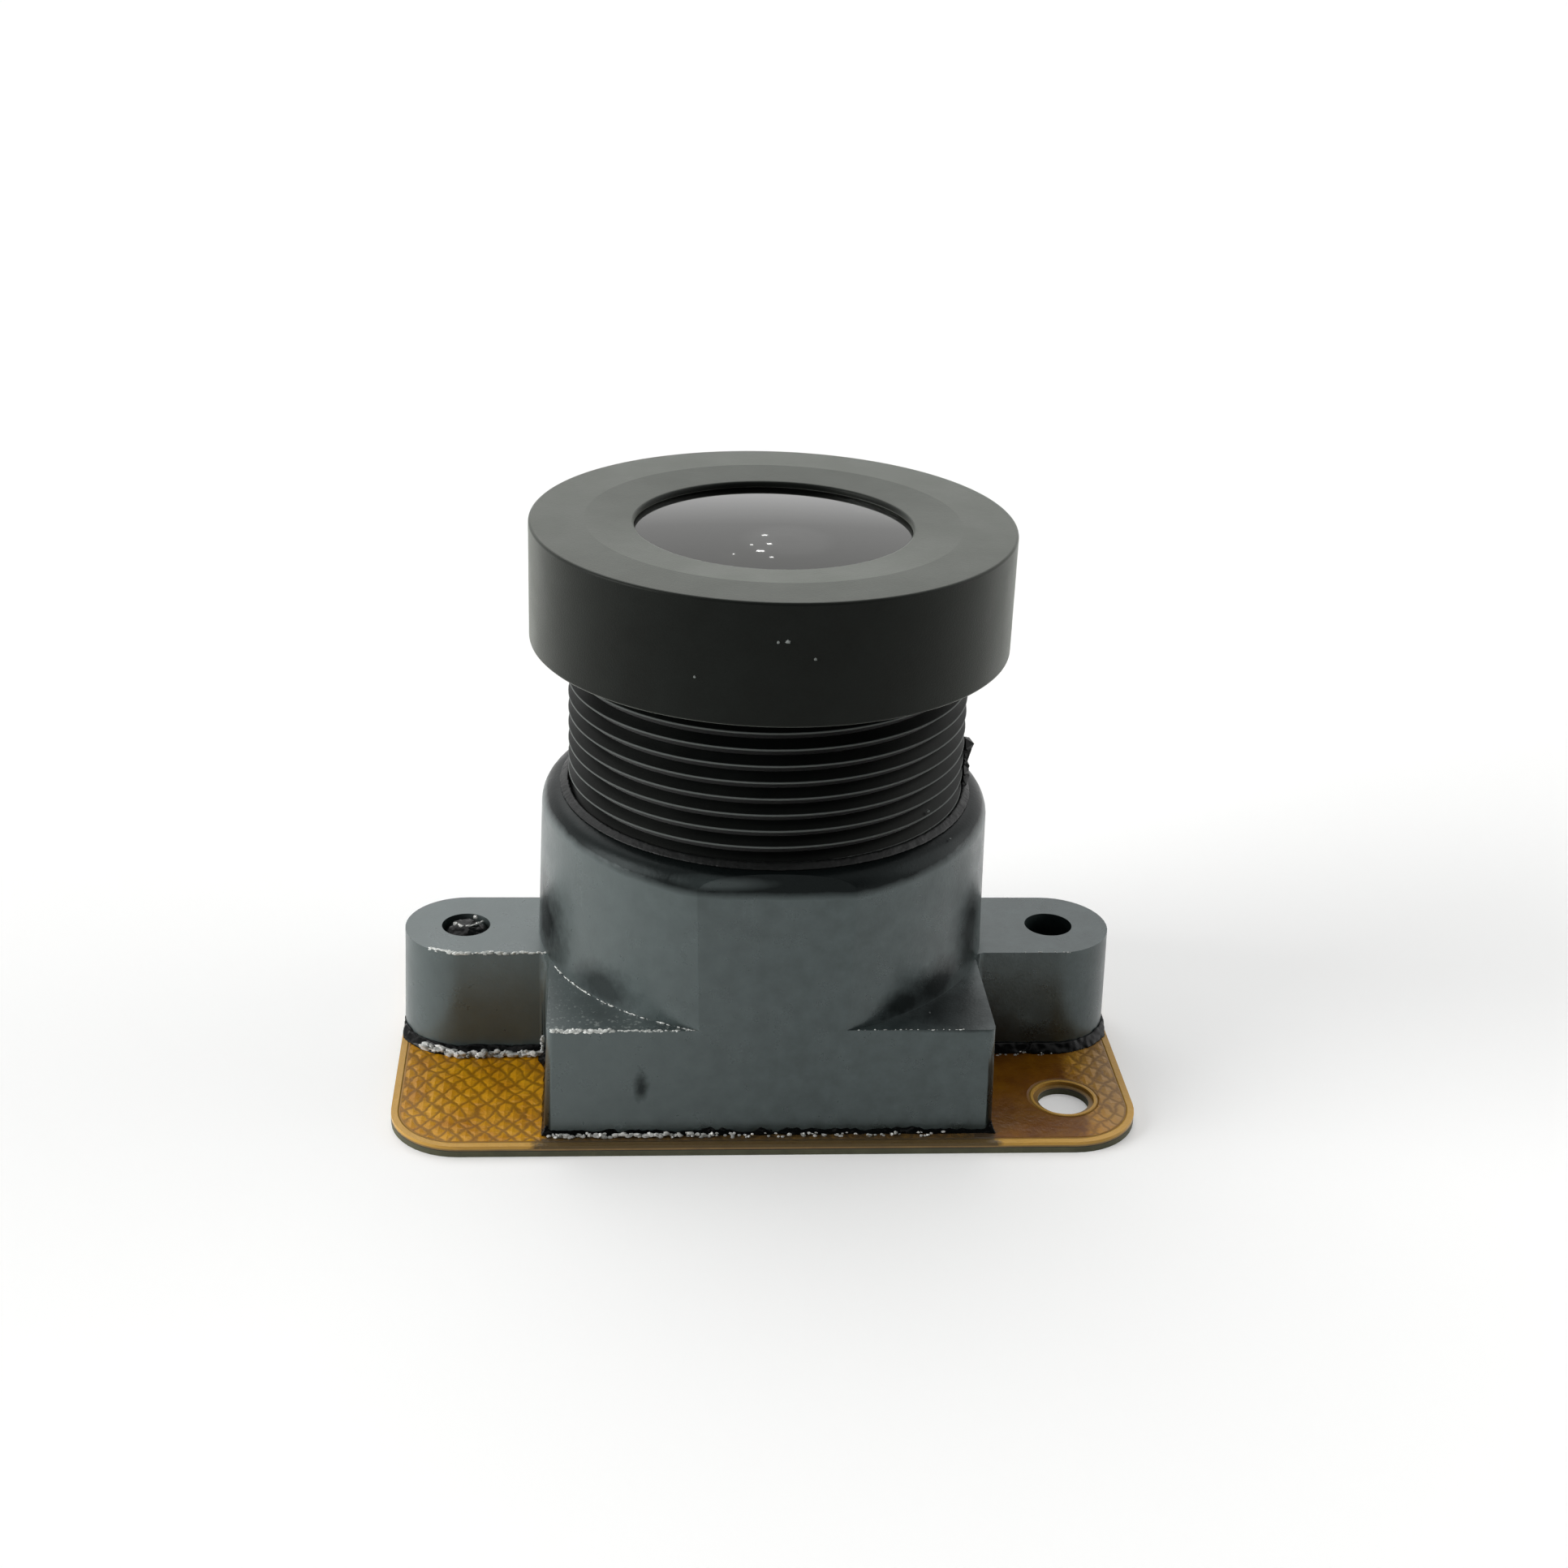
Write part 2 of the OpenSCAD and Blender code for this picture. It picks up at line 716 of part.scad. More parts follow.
// glue ring round the thread on the tower's top, with a lump that climbs the thread
module thread_lock_glue() {
    thread_radius = thread_diameter / 2;
    color(glue_black)
        difference() {
            union() {
                translate([0, 0, tower_top])
                    cylinder(h = lock_ring_height, r1 = thread_radius + lock_ring_width,
                             r2 = thread_radius + feather + bore_gap);
                rotate(lump_angle)
                    for (share = lump_shares)
                        translate([thread_radius, 0, tower_top + share[0] * lump_height])
                            sphere(share[1] * lump_radius);
            }
            translate([0, 0, tower_top - cut])
                cylinder(h = lump_height + 2 * cut, r = thread_radius);
            translate([0, 0, tower_top - 2 * cut])
                cylinder(h = 2 * cut, r = thread_radius + 2 * cut);
        }
}

// black bead in the corner between the board and the holder's foot
module foot_bead() {
    color(glue_black)
        intersection() {
            difference() {
                union() {
                    drafted_block(board_top, board_top + bead_height, bead_width, feather);
                    for (side = [0, 1])
                        mirror([side, 0, 0])
                            drafted_ear(board_top, board_top + bead_height, bead_width, feather);
                }
                holder_foot();
            }
            translate([0, 0, board_top])
                linear_extrude(bead_height)
                    rounded_plan(board_width - 2 * edge_margin, board_depth - 2 * edge_margin,
                                 board_corner_radius - edge_margin);
        }
}

// drop of glue that fills the left ear's hole and bulges in the middle
module ear_plug() {
    plug_top = block_top - plug_drop;
    plug_radius = ear_hole_diameter / 2;
    color(glue_black)
        translate([-ear_hole_x, 0, 0]) {
            translate([0, 0, board_top])
                cylinder(h = plug_top - board_top, r = plug_radius);
            cap_up(plug_top, plug_radius, plug_curve);
        }
}

stiffener_plate();
stiffener_adhesive();
base_film();
copper_sheet();
cover_film();
sensor_package();
sensor_chip();
sensor_frame();
sensor_cover_glass();
chip_capacitors();
chip_resistors();
lens_holder();
infrared_filter();
lens_barrel();
front_element();
second_element();
spacer_ring();
third_element();
stop_ring();
aperture_stop();
fourth_element();
rear_spacer();
rear_element();
retaining_ring();
thread_lock_glue();
foot_bead();
ear_plug();
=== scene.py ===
"""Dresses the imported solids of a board-mounted camera module as the finished object."""
import logging
import math
import random
from dataclasses import dataclass
from enum import Enum
from typing import Callable, Iterable, Sequence

import bmesh
import bpy
from mathutils import Matrix, Vector, noise


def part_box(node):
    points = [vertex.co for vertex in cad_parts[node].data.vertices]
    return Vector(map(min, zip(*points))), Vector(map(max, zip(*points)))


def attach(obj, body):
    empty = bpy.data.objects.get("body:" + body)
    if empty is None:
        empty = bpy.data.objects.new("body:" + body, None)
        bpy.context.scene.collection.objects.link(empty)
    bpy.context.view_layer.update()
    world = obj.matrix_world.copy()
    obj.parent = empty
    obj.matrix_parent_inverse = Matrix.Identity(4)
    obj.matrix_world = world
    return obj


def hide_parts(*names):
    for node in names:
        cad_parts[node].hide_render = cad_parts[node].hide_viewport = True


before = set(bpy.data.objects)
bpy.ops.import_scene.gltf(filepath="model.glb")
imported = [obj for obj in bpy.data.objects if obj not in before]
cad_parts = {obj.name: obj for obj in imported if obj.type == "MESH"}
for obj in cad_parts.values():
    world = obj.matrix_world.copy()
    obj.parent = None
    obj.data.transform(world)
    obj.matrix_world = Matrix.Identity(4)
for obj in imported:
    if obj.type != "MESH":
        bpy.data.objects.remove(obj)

LOG = logging.getLogger("camera_module")
logging.basicConfig(level=logging.INFO, format="%(relativeCreated)d %(message)s")

MM = 0.001
ROOT = "root"
WHITE = (1.0, 1.0, 1.0, 1.0)
# keeps the level parts of a point and drops its height
LEVEL = (1.0, 1.0, 0.0)
# distances under which corners are merged, in millimetres
MERGE = 1e-4
MERGE_TURNED = 1e-5
# the angle in degrees under which neighbouring faces are one flat face
FLAT_ANGLE = 0.5

Colour = tuple[float, float, float, float]
Point = tuple[float, float, float]
Socket = bpy.types.NodeSocket
Tree = bpy.types.NodeTree


class Slot(Enum):
    """The material slots that this scene dresses."""

    HOLDER = "holder_plastic"
    BARREL = "barrel_black"
    LENS = "lens_glass"
    FILTER = "filter_glass"
    FILM = "film_amber"
    COPPER = "copper"
    STIFFENER = "stiffener_laminate"
    ADHESIVE = "adhesive_sheet"
    PACKAGE = "package_ceramic"
    CHIP = "chip_silicon"
    PART = "part_ceramic"
    STOP = "stop_black"
    GLUE = "glue_black"


# ---------- small helpers ----------


def linear(code: str) -> Colour:
    """Turns an sRGB hex colour into linear light.

    Args:
        code: the colour as six hex digits.

    Returns:
        Red, green, blue and full opacity.
    """
    channels = [int(code[i:i + 2], 16) / 255 for i in (0, 2, 4)]
    red, green, blue = (c / 12.92 if c <= 0.04045 else ((c + 0.055) / 1.055) ** 2.4 for c in channels)
    return red, green, blue, 1.0


def box_mm(node: str) -> tuple[Vector, Vector]:
    """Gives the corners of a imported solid.

    Args:
        node: the solid's name.

    Returns:
        Its lowest and highest corners in millimetres.
    """
    low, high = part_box(node)
    return Vector(low) / MM, Vector(high) / MM


def add_node(tree: Tree, kind: str, inputs: dict | None = None,
             stops: Sequence[tuple[float, Colour]] = (), **settings: object) -> bpy.types.Node:
    """Adds a node with its settings, its colour stops and its inputs' values or links.

    Args:
        tree: the node tree that the node joins.
        kind: the node's type name.
        inputs: values or output sockets by input name or number.
        stops: positions and colours of a colour ramp.
        settings: the node's own properties.

    Returns:
        The new node.
    """
    node = tree.nodes.new(kind)
    for name, value in settings.items():
        setattr(node, name, value)
    for key, value in (inputs or {}).items():
        if isinstance(value, Socket):
            tree.links.new(value, node.inputs[key])
        else:
            node.inputs[key].default_value = value
    if stops:
        elements = node.color_ramp.elements
        while len(elements) < len(stops):
            elements.new(0.5)
        for element, (position, colour) in zip(elements, stops):
            element.position = position
            element.color = colour
    return node


# ---------- shader steps ----------


class Step(Enum):
    """The shader steps: each one's node type, settings, inputs in order and preset inputs."""

    ADD = ("Math", {"operation": "ADD"})
    TAKE = ("Math", {"operation": "SUBTRACT"})
    TIMES = ("Math", {"operation": "MULTIPLY"})
    OVER = ("Math", {"operation": "DIVIDE"})
    MOST = ("Math", {"operation": "MAXIMUM"})
    LEAST = ("Math", {"operation": "MINIMUM"})
    FOLD = ("Math", {"operation": "PINGPONG"})
    SIZE = ("Math", {"operation": "ABSOLUTE"})
    ROOT = ("Math", {"operation": "SQRT"})
    MOVE = ("VectorMath", {"operation": "SUBTRACT"})
    SCALE = ("VectorMath", {"operation": "MULTIPLY"})
    LENGTH = ("VectorMath", {"operation": "LENGTH"})
    ALONG = ("VectorMath", {"operation": "DOT_PRODUCT"})
    SPLIT = ("SeparateXYZ", {})
    FADE = ("MapRange", {}, ("Value", "From Min", "From Max", "To Min", "To Max"))
    CLOUD = ("TexNoise", {}, ("Vector", "Scale", "Detail"), (("Detail", 3.0), ("Roughness", 0.6)))
    BLEND = ("Mix", {"data_type": "RGBA"}, (0, 6, 7))

    def __init__(self, kind: str, settings: dict[str, str], keys: tuple[int | str, ...] = (0, 1),
                 preset: tuple[tuple[str, float], ...] = ()) -> None:
        """Keeps the parts of a step.

        Args:
            kind: the node type's name without its prefix.
            settings: the node's own properties.
            keys: names or numbers of its inputs, in the order in which values are given.
            preset: values for inputs that aren't given.
        """
        self.kind = "ShaderNode" + kind
        self.settings = settings
        self.keys = keys
        self.preset = preset

    def __call__(self, *values: Socket | float | Sequence[float]) -> Socket:
        """Adds the step to the tree of its inputs; arithmetic takes any number of values.

        Args:
            values: its inputs in order, with a socket among the first two.

        Returns:
            The step's output.
        """
        if len(values) > len(self.keys):
            return self(self(*values[:2]), *values[2:])
        tree = next(v.id_data for v in values if isinstance(v, Socket))
        node = add_node(tree, self.kind, dict(self.preset) | dict(zip(self.keys, values)), **self.settings)
        return next(output for output in node.outputs if output.enabled)


def wobble(place: Socket, lump_mm: float, swing: float) -> Socket:
    """Draws an uneven shift to both sides of zero.

    Args:
        place: the point on the surface, in millimetres.
        lump_mm: size of its lumps.
        swing: its whole span.

    Returns:
        The shift.
    """
    return Step.TIMES(Step.TAKE(Step.CLOUD(place, 1 / lump_mm), 0.5), swing)


# ---------- finishes ----------

# the part of a cloud's range over which a drift runs from one end to the other
DRIFT = (0.3, 0.7)


@dataclass(frozen=True)
class Spot:
    """A soft, uneven spot on a surface, in millimetres."""

    middle: Point
    across: float
    high: float
    share: float = 1.0
    ragged: float = 0.5
    lump: float = 0.3
    core: float = 0.35
    edge: float = 1.15

    def draw(self, place: Socket) -> Socket:
        """Draws the spot.

        Args:
            place: the point on the surface, in millimetres.

        Returns:
            Its share in the middle, falling to 0 outside.
        """
        scale = (1 / self.across, 1 / self.across, 1 / self.high)
        even = Step.SCALE(Step.MOVE(place, self.middle), scale)
        reach = Step.ADD(Step.LENGTH(even), wobble(place, self.lump, self.ragged))
        return Step.FADE(reach, self.core, self.edge, self.share, 0.0)


@dataclass(frozen=True)
class Finish:
    """A surface whose colour drifts between two shades, with its own gloss and grain."""

    name: str
    slot: Slot
    shade: str
    tint: str
    patch_mm: float
    grain_mm: float
    relief_mm: float
    roughness: float
    roughness_swing: float = 0.06
    metallic: float = 0.0
    ior: float = 1.5
    specular: float = 0.5
    coat: float = 0.0
    coat_roughness: float = 0.1
    transmission: float = 0.0
    sheen: float = 0.0
    sheen_roughness: float = 0.3
    gleam: str = "ffffff"
    bloom: str = "ffffff"
    colour_detail: float = 5.0
    gloss_detail: float = 4.0
    gloss_stretch: float = 0.7

    def colour(self, place: Socket) -> Socket:
        """Draws the drift between the two shades.

        Args:
            place: the point on the surface, in millimetres.

        Returns:
            The colour.
        """
        drift = Step.CLOUD(place, 1 / self.patch_mm, self.colour_detail)
        stops = list(zip(DRIFT, (linear(self.shade), linear(self.tint))))
        return add_node(place.id_data, "ShaderNodeValToRGB", {"Fac": drift}, stops).outputs["Color"]

    def height(self, place: Socket) -> Socket:
        """Draws the grain as a height field and returns it."""
        return Step.CLOUD(place, 1 / self.grain_mm)

    def gloss(self, place: Socket) -> Socket:
        """Draws the drift of the roughness, in somewhat larger patches than the colour's.

        Args:
            place: the point on the surface, in millimetres.

        Returns:
            The roughness.
        """
        drift = Step.CLOUD(place, self.gloss_stretch / self.patch_mm, self.gloss_detail)
        ends = (self.roughness + way * self.roughness_swing for way in (-1, 1))
        return Step.FADE(drift, *DRIFT, *ends)

    def varied(self, place: Socket) -> dict[str, Socket]:
        """Gives the further shader inputs that change over the surface, by name."""
        return {}

    def material(self) -> bpy.types.Material:
        """Makes the material once and keeps it for every later call.

        Returns:
            The material.
        """
        made = bpy.data.materials.get(self.name)
        if made:
            return made
        made = bpy.data.materials.new(self.name)
        made.use_nodes = True
        tree = made.node_tree
        shader = tree.nodes["Principled BSDF"]
        place = Step.SCALE(add_node(tree, "ShaderNodeTexCoord").outputs["Object"], (1 / MM,) * 3)
        bump = add_node(tree, "ShaderNodeBump", {"Height": self.height(place), "Strength": 1.0,
                                                 "Distance": self.relief_mm * MM})
        for name, value in (
                ("Metallic", self.metallic), ("IOR", self.ior), ("Specular IOR Level", self.specular),
                ("Coat Weight", self.coat), ("Coat Roughness", self.coat_roughness),
                ("Transmission Weight", self.transmission), ("Sheen Weight", self.sheen),
                ("Sheen Roughness", self.sheen_roughness), ("Specular Tint", linear(self.gleam)),
                ("Sheen Tint", linear(self.bloom)), ("Coat Tint", linear(self.bloom))):
            shader.inputs[name].default_value = value
        drawn = {"Base Color": self.colour(place), "Roughness": self.gloss(place),
                 "Normal": bump.outputs["Normal"]}
        for name, socket in (drawn | self.varied(place)).items():
            tree.links.new(socket, shader.inputs[name])
        return made

    def dress(self, obj: bpy.types.Object) -> None:
        """Gives a piece this finish in all its material slots.

        Args:
            obj: the piece.
        """
        if not obj.material_slots:
            obj.data.materials.append(self.material())
        for slot in obj.material_slots:
            slot.material = self.material()


@dataclass(frozen=True)
class ThreadedFinish(Finish):
    """Anodised metal with a painted highlight along the thread's crests."""

    crest_radius_mm: float = 6.0
    crest_band_mm: float = 0.02
    under_head_mm: float = 13.5
    under_fade_mm: float = 0.02
    # the painted highlight's colour on the crests
    highlit: str = "565a58"

    def colour(self, place: Socket) -> Socket:
        """Paints a highlight as a narrow lighter band at the crests' radius, under the head.

        Args:
            place: the point on the surface, in millimetres.

        Returns:
            The colour.
        """
        radius = Step.LENGTH(Step.SCALE(place, LEVEL))
        off = Step.SIZE(Step.TAKE(radius, self.crest_radius_mm))
        band = Step.FADE(off, self.crest_band_mm / 2, self.crest_band_mm, 1.0, 0.0)
        _, _, up = Step.SPLIT(place).node.outputs
        below = Step.FADE(up, self.under_head_mm - self.under_fade_mm, self.under_head_mm, 1.0, 0.0)
        return Step.BLEND(Step.TIMES(band, below), super().colour(place), linear(self.highlit))


@dataclass(frozen=True)
class HolderFinish(Finish):
    """Moulded plastic, scratched on one corner's top, with a rubbed dark mark, painted shade on the shoulder,
    painted dark reflections on the walls and painted light towards the left.
    """

    top_mm: float = 0.0
    front_mm: float = 0.0
    top_fade_mm: tuple[float, float] = (0.01, 0.05)
    scratch_left_mm: tuple[float, float] = (-6.6, -6.55)
    scratch_right_mm: tuple[float, float] = (-2.0, -2.5)
    scratch_reach_mm: float = 2.6
    scratch_mm: float = 0.11
    scratch_least: tuple[float, float] = (0.64, 0.74)
    scratch_edge_gain: float = 0.09
    scratch_share: float = 0.7
    scratch: str = "8f9490"
    dark: str = "060909"
    dark_specular: float = 0.08
    # painted light: the plastic is painted lighter towards the left, where the light falls
    left_light: str = "545c5b"
    left_light_share: float = 0.55
    left_light_mm: tuple[float, float] = (0.5, -6.0)
    wall_radius_mm: float = 6.93
    wall_fade_mm: tuple[float, float] = (0.01, 0.08)
    # painted shade and dark reflection on the shoulder under the head, reaching higher towards the sides
    rim_mm: tuple[float, float] = (8.03, 8.28)
    rim_rise_mm: float = 0.42
    rim_lump_mm: float = 0.6
    rim_uneven_mm: float = 0.16
    rim_share: float = 0.95
    rubbed: Spot = Spot((-3.8, -6.6, 1.95), 0.24, 0.55, 0.8, 1.0)
    # painted highlight: a lighter patch in the shoulder's painted shade, at the front
    lit_patch: Spot = Spot((-1.6, -6.6, 8.45), 1.5, 0.22, 0.5, 0.3)
    # painted dark reflections of the ears, block and board on the tower's walls, and of the tower on the
    # spandrels' tops
    dark_reflections: tuple[Spot, ...] = (
        Spot((-6.5, -1.7, 4.9), 1.8, 1.6, 1.0), Spot((-4.9, -4.8, 4.25), 1.4, 0.8, 0.7),
        Spot((6.1, -3.0, 5.3), 1.1, 1.6, 0.9), Spot((5.0, -4.8, 4.3), 1.5, 0.85, 0.9),
        Spot((3.9, -5.7, 4.15), 1.1, 0.6, 0.85), Spot((5.6, -5.5, 3.79), 2.2, 0.1, 0.7),
        Spot((-5.8, -5.4, 3.79), 1.6, 0.1, 0.1))

    def painted_shade_and_rub(self, place: Socket) -> Socket:
        """Draws the painted shade on the shoulder under the head, lightened in one painted highlight, the
        painted dark reflections on the walls and spandrels, and the rub mark.

        Args:
            place: the point on the surface, in millimetres.

        Returns:
            The share, 1 where the surface is fully darkened.
        """
        aside, _, up = Step.SPLIT(place).node.outputs
        aside = Step.OVER(aside, self.wall_radius_mm)
        # painted shade on the shoulder, its edge rising towards the sides
        uneven = Step.TIMES(Step.CLOUD(place, 1 / self.rim_lump_mm), self.rim_uneven_mm)
        above = Step.TAKE(Step.ADD(up, uneven), Step.TIMES(aside, aside, self.rim_rise_mm))
        shaded_rim = Step.FADE(above, *self.rim_mm, 0.0, self.rim_share)
        shade_and_rub = Step.TIMES(shaded_rim, Step.TAKE(1.0, self.lit_patch.draw(place)))
        wall = Step.FADE(up, *(self.top_mm + edge for edge in self.wall_fade_mm))
        # the painted dark reflections, kept off the block's top where they belong to the walls
        for dark_reflection in self.dark_reflections:
            drawn = dark_reflection.draw(place)
            if dark_reflection.middle[2] > self.top_mm:
                drawn = Step.TIMES(drawn, wall)
            shade_and_rub = Step.MOST(shade_and_rub, drawn)
        return Step.MOST(shade_and_rub, self.rubbed.draw(place))

    def varied(self, place: Socket) -> dict[str, Socket]:
        """Dulls the painted shade, the painted dark reflections and the rub mark, and returns their
        reflection, by its shader input.
        """
        dulled = Step.FADE(self.painted_shade_and_rub(place), 0.0, 1.0, self.specular, self.dark_specular)
        return {"Specular IOR Level": dulled}

    def colour(self, place: Socket) -> Socket:
        """Adds the painted light towards the left, the painted shade and dark reflections, the rub mark and
        the scratches to the plain plastic.

        Args:
            place: the point on the surface, in millimetres.

        Returns:
            The colour.
        """
        aside, back, up = Step.SPLIT(place).node.outputs
        lit_left = Step.FADE(aside, *self.left_light_mm, 0.0, self.left_light_share)
        left_lightened = Step.BLEND(lit_left, super().colour(place), linear(self.left_light))
        darkened = Step.BLEND(self.painted_shade_and_rub(place), left_lightened, linear(self.dark))
        off = Step.SIZE(Step.TAKE(up, self.top_mm))
        on_top = Step.FADE(off, *self.top_fade_mm, 1.0, 0.0)
        leftward = [Step.FADE(aside, *edge) for edge in (self.scratch_right_mm, self.scratch_left_mm)]
        near_front = (-self.front_mm, self.scratch_reach_mm - self.front_mm)
        nearness = Step.FADE(back, *near_front, self.scratch_edge_gain, 0.0)
        marked = Step.ADD(Step.CLOUD(place, 1 / self.scratch_mm), nearness)
        specks = Step.FADE(marked, *self.scratch_least, 0.0, self.scratch_share)
        return Step.BLEND(Step.TIMES(specks, on_top, *leftward), darkened, linear(self.scratch))


@dataclass(frozen=True)
class FilmFinish(Finish):
    """Amber film over a copper hatch, with the bare margin round the copper and the hole, a darker strip in
    front of the block, painted shade right of the block and painted light towards the right edge.
    """

    half_width_mm: float = 0.0
    half_depth_mm: float = 0.0
    corner_mm: float = 0.0
    inset_mm: float = 0.0
    hole_x_mm: float = 0.0
    hole_y_mm: float = 0.0
    clear_radius_mm: float = 0.0
    hatch_mm: float = 0.44
    hatch_slant: float = 54.5
    hatch_lump_mm: float = 1.0
    hatch_uneven_mm: float = 0.7
    groove_mm: float = 0.085
    groove_core: float = 0.25
    groove_share: float = 0.7
    groove: str = "6a4606"
    edge_mm: tuple[float, float] = (0.02, 0.06)
    margin: str = "c79a48"
    # a darker strip on the film in front of the block
    front_strip_half_mm: tuple[float, float] = (6.65, 6.95)
    front_strip_back_mm: tuple[float, float] = (-6.7, -6.6)
    front_strip_lump_mm: float = 0.5
    front_strip_uneven_mm: float = 1.2
    front_strip_share: float = 0.85
    front_strip: str = "34322a"
    # right of the block: the hatch is left out, as solid copper, and the film is painted in the block's shade
    smooth_start_mm: tuple[float, float] = (6.0, 6.1)
    smooth_end_mm: tuple[float, float] = (9.4, 9.9)
    smooth_lump_mm: float = 0.6
    smooth_uneven_mm: float = 1.4
    smooth_cloud_mm: float = 0.8
    smooth_least: float = 0.8
    # the colour of the painted shade right of the block
    smooth: str = "623702"
    # painted light: the film is painted paler towards the right edge, past the block's shade
    right_light_mm: tuple[float, float] = (9.3, 10.6)
    right_light_share: float = 0.75
    right_light: str = "a5814e"
    sunk_width: float = 3.0
    film_rise: float = 0.4
    film_uneven: float = 0.6
    groove_depth: float = 0.6

    def solid_and_shaded_zone(self, place: Socket) -> Socket:
        """Draws where solid copper lies under the film instead of the hatch, right of the block, which is
        also where the film is painted in the block's shade.

        Args:
            place: the point on the surface, in millimetres.

        Returns:
            The share of solid copper, and of painted shade.
        """
        aside, _, _ = Step.SPLIT(place).node.outputs
        ragged = Step.ADD(aside, wobble(place, self.smooth_lump_mm, self.smooth_uneven_mm))
        ends = Step.FADE(ragged, *self.smooth_end_mm, 1.0, 0.0)
        return Step.TIMES(ends, Step.FADE(aside, *self.smooth_start_mm))

    def border(self, place: Socket) -> Socket:
        """Measures how far a point lies inside the copper's edge; below zero is bare film.

        Args:
            place: the point on the surface, in millimetres.

        Returns:
            The distance in millimetres.
        """
        aside, back, _ = Step.SPLIT(place).node.outputs
        reach = [Step.TAKE(Step.SIZE(axis), half - self.corner_mm)
                 for axis, half in ((aside, self.half_width_mm), (back, self.half_depth_mm))]
        outside = [Step.MOST(past, 0.0) for past in reach]
        corner = Step.ROOT(Step.ADD(*(Step.TIMES(past, past) for past in outside)))
        inner = Step.LEAST(Step.MOST(*reach), 0.0)
        rim = Step.TAKE(self.corner_mm - self.inset_mm, Step.ADD(corner, inner))
        off = Step.MOVE(place, (self.hole_x_mm, self.hole_y_mm, 0.0))
        ring = Step.TAKE(Step.LENGTH(Step.SCALE(off, LEVEL)), self.clear_radius_mm)
        return Step.LEAST(rim, ring)

    def lines(self, place: Socket, width_mm: float) -> Socket:
        """Draws the hatch's crossing grooves.

        Args:
            place: the point on the surface, in millimetres.
            width_mm: half the width over which a groove fades.

        Returns:
            The share of groove.
        """
        shift = wobble(place, self.hatch_lump_mm, self.hatch_uneven_mm)
        found = []
        for slant in (math.radians(self.hatch_slant), -math.radians(self.hatch_slant)):
            along = Step.ALONG(place, (math.sin(slant), math.cos(slant), 0.0))
            fold = Step.FOLD(Step.ADD(along, shift), self.hatch_mm / 2)
            found.append(Step.FADE(fold, self.groove_core * width_mm, width_mm, 1.0, 0.0))
        return Step.MOST(*found)

    def pattern(self, place: Socket, width_mm: float) -> tuple[Socket, Socket]:
        """Splits the film into copper area and margin.

        Args:
            place: the point on the surface, in millimetres.
            width_mm: half the width over which a groove fades.

        Returns:
            The share of groove, and the share of copper under the film.
        """
        rim = self.border(place)
        near = self.edge_mm[0]
        copper = Step.FADE(rim, -near, near)
        hatched = Step.TAKE(1.0, self.solid_and_shaded_zone(place))
        hatch = Step.TIMES(self.lines(place, width_mm), copper, hatched)
        edge = Step.FADE(Step.SIZE(rim), *self.edge_mm, 1.0, 0.0)
        return Step.MOST(hatch, edge), copper

    def colour(self, place: Socket) -> Socket:
        """Lays the margin, the copper's amber with its painted shade and painted light, the dark grooves and
        the darker front strip over each other.

        Args:
            place: the point on the surface, in millimetres.

        Returns:
            The colour.
        """
        aside, back, _ = Step.SPLIT(place).node.outputs
        # painted light towards the right edge
        pale = Step.FADE(aside, *self.right_light_mm, 0.0, self.right_light_share)
        amber = Step.BLEND(pale, super().colour(place), linear(self.right_light))
        # painted shade right of the block, in uneven patches
        patches = Step.FADE(Step.CLOUD(place, 1 / self.smooth_cloud_mm), *DRIFT, self.smooth_least, 1.0)
        solid = Step.TIMES(self.solid_and_shaded_zone(place), patches)
        amber = Step.BLEND(solid, amber, linear(self.smooth))
        groove, copper = self.pattern(place, self.groove_mm)
        body = Step.BLEND(copper, linear(self.margin), amber)
        lined = Step.BLEND(Step.TIMES(groove, self.groove_share), body, linear(self.groove))
        # the darker strip in front of the block, with a ragged side edge
        ragged = wobble(place, self.front_strip_lump_mm, self.front_strip_uneven_mm)
        across = Step.ADD(Step.SIZE(aside), ragged)
        beside = Step.FADE(across, *self.front_strip_half_mm, self.front_strip_share, 0.0)
        before = Step.FADE(back, *self.front_strip_back_mm, 1.0, 0.0)
        return Step.BLEND(Step.TIMES(beside, before), lined, linear(self.front_strip))

    def height(self, place: Socket) -> Socket:
        """Sinks the grooves and lets the film lie unevenly.

        Args:
            place: the point on the surface, in millimetres.

        Returns:
            The height as a share of the relief.
        """
        groove, copper = self.pattern(place, self.sunk_width * self.groove_mm)
        uneven = Step.TIMES(super().height(place), self.film_uneven)
        raised = Step.ADD(Step.TIMES(copper, self.film_rise), uneven)
        return Step.TAKE(raised, Step.TIMES(groove, self.groove_depth))


@dataclass(frozen=True)
class CoatedGlass(Finish):
    """Coated glass with a painted reflection: its coating's share rises towards its far side and in a faint
    inner ellipse.
    """

    reach_mm: float = 4.1
    near_coat: float = -0.8
    ellipse: Spot = Spot((0.34, -1.35, 16.9), 1.25, 1.0, 0.22, 0.2)
    ellipse_core: Spot = Spot((0.34, -1.35, 16.9), 0.875, 0.8, 0.12, 0.2)

    def varied(self, place: Socket) -> dict[str, Socket]:
        """Lets the coating's share drift across the glass, as a painted reflection.

        Args:
            place: the point on the surface, in millimetres.

        Returns:
            The coating's share, by its shader input.
        """
        _, back, _ = Step.SPLIT(place).node.outputs
        drift = Step.FADE(back, -self.reach_mm, self.reach_mm, self.near_coat, self.coat)
        ring = Step.TAKE(self.ellipse.draw(place), self.ellipse_core.draw(place))
        return {"Coat Weight": Step.ADD(Step.MOST(drift, 0.0), ring)}


# ---------- meshes ----------


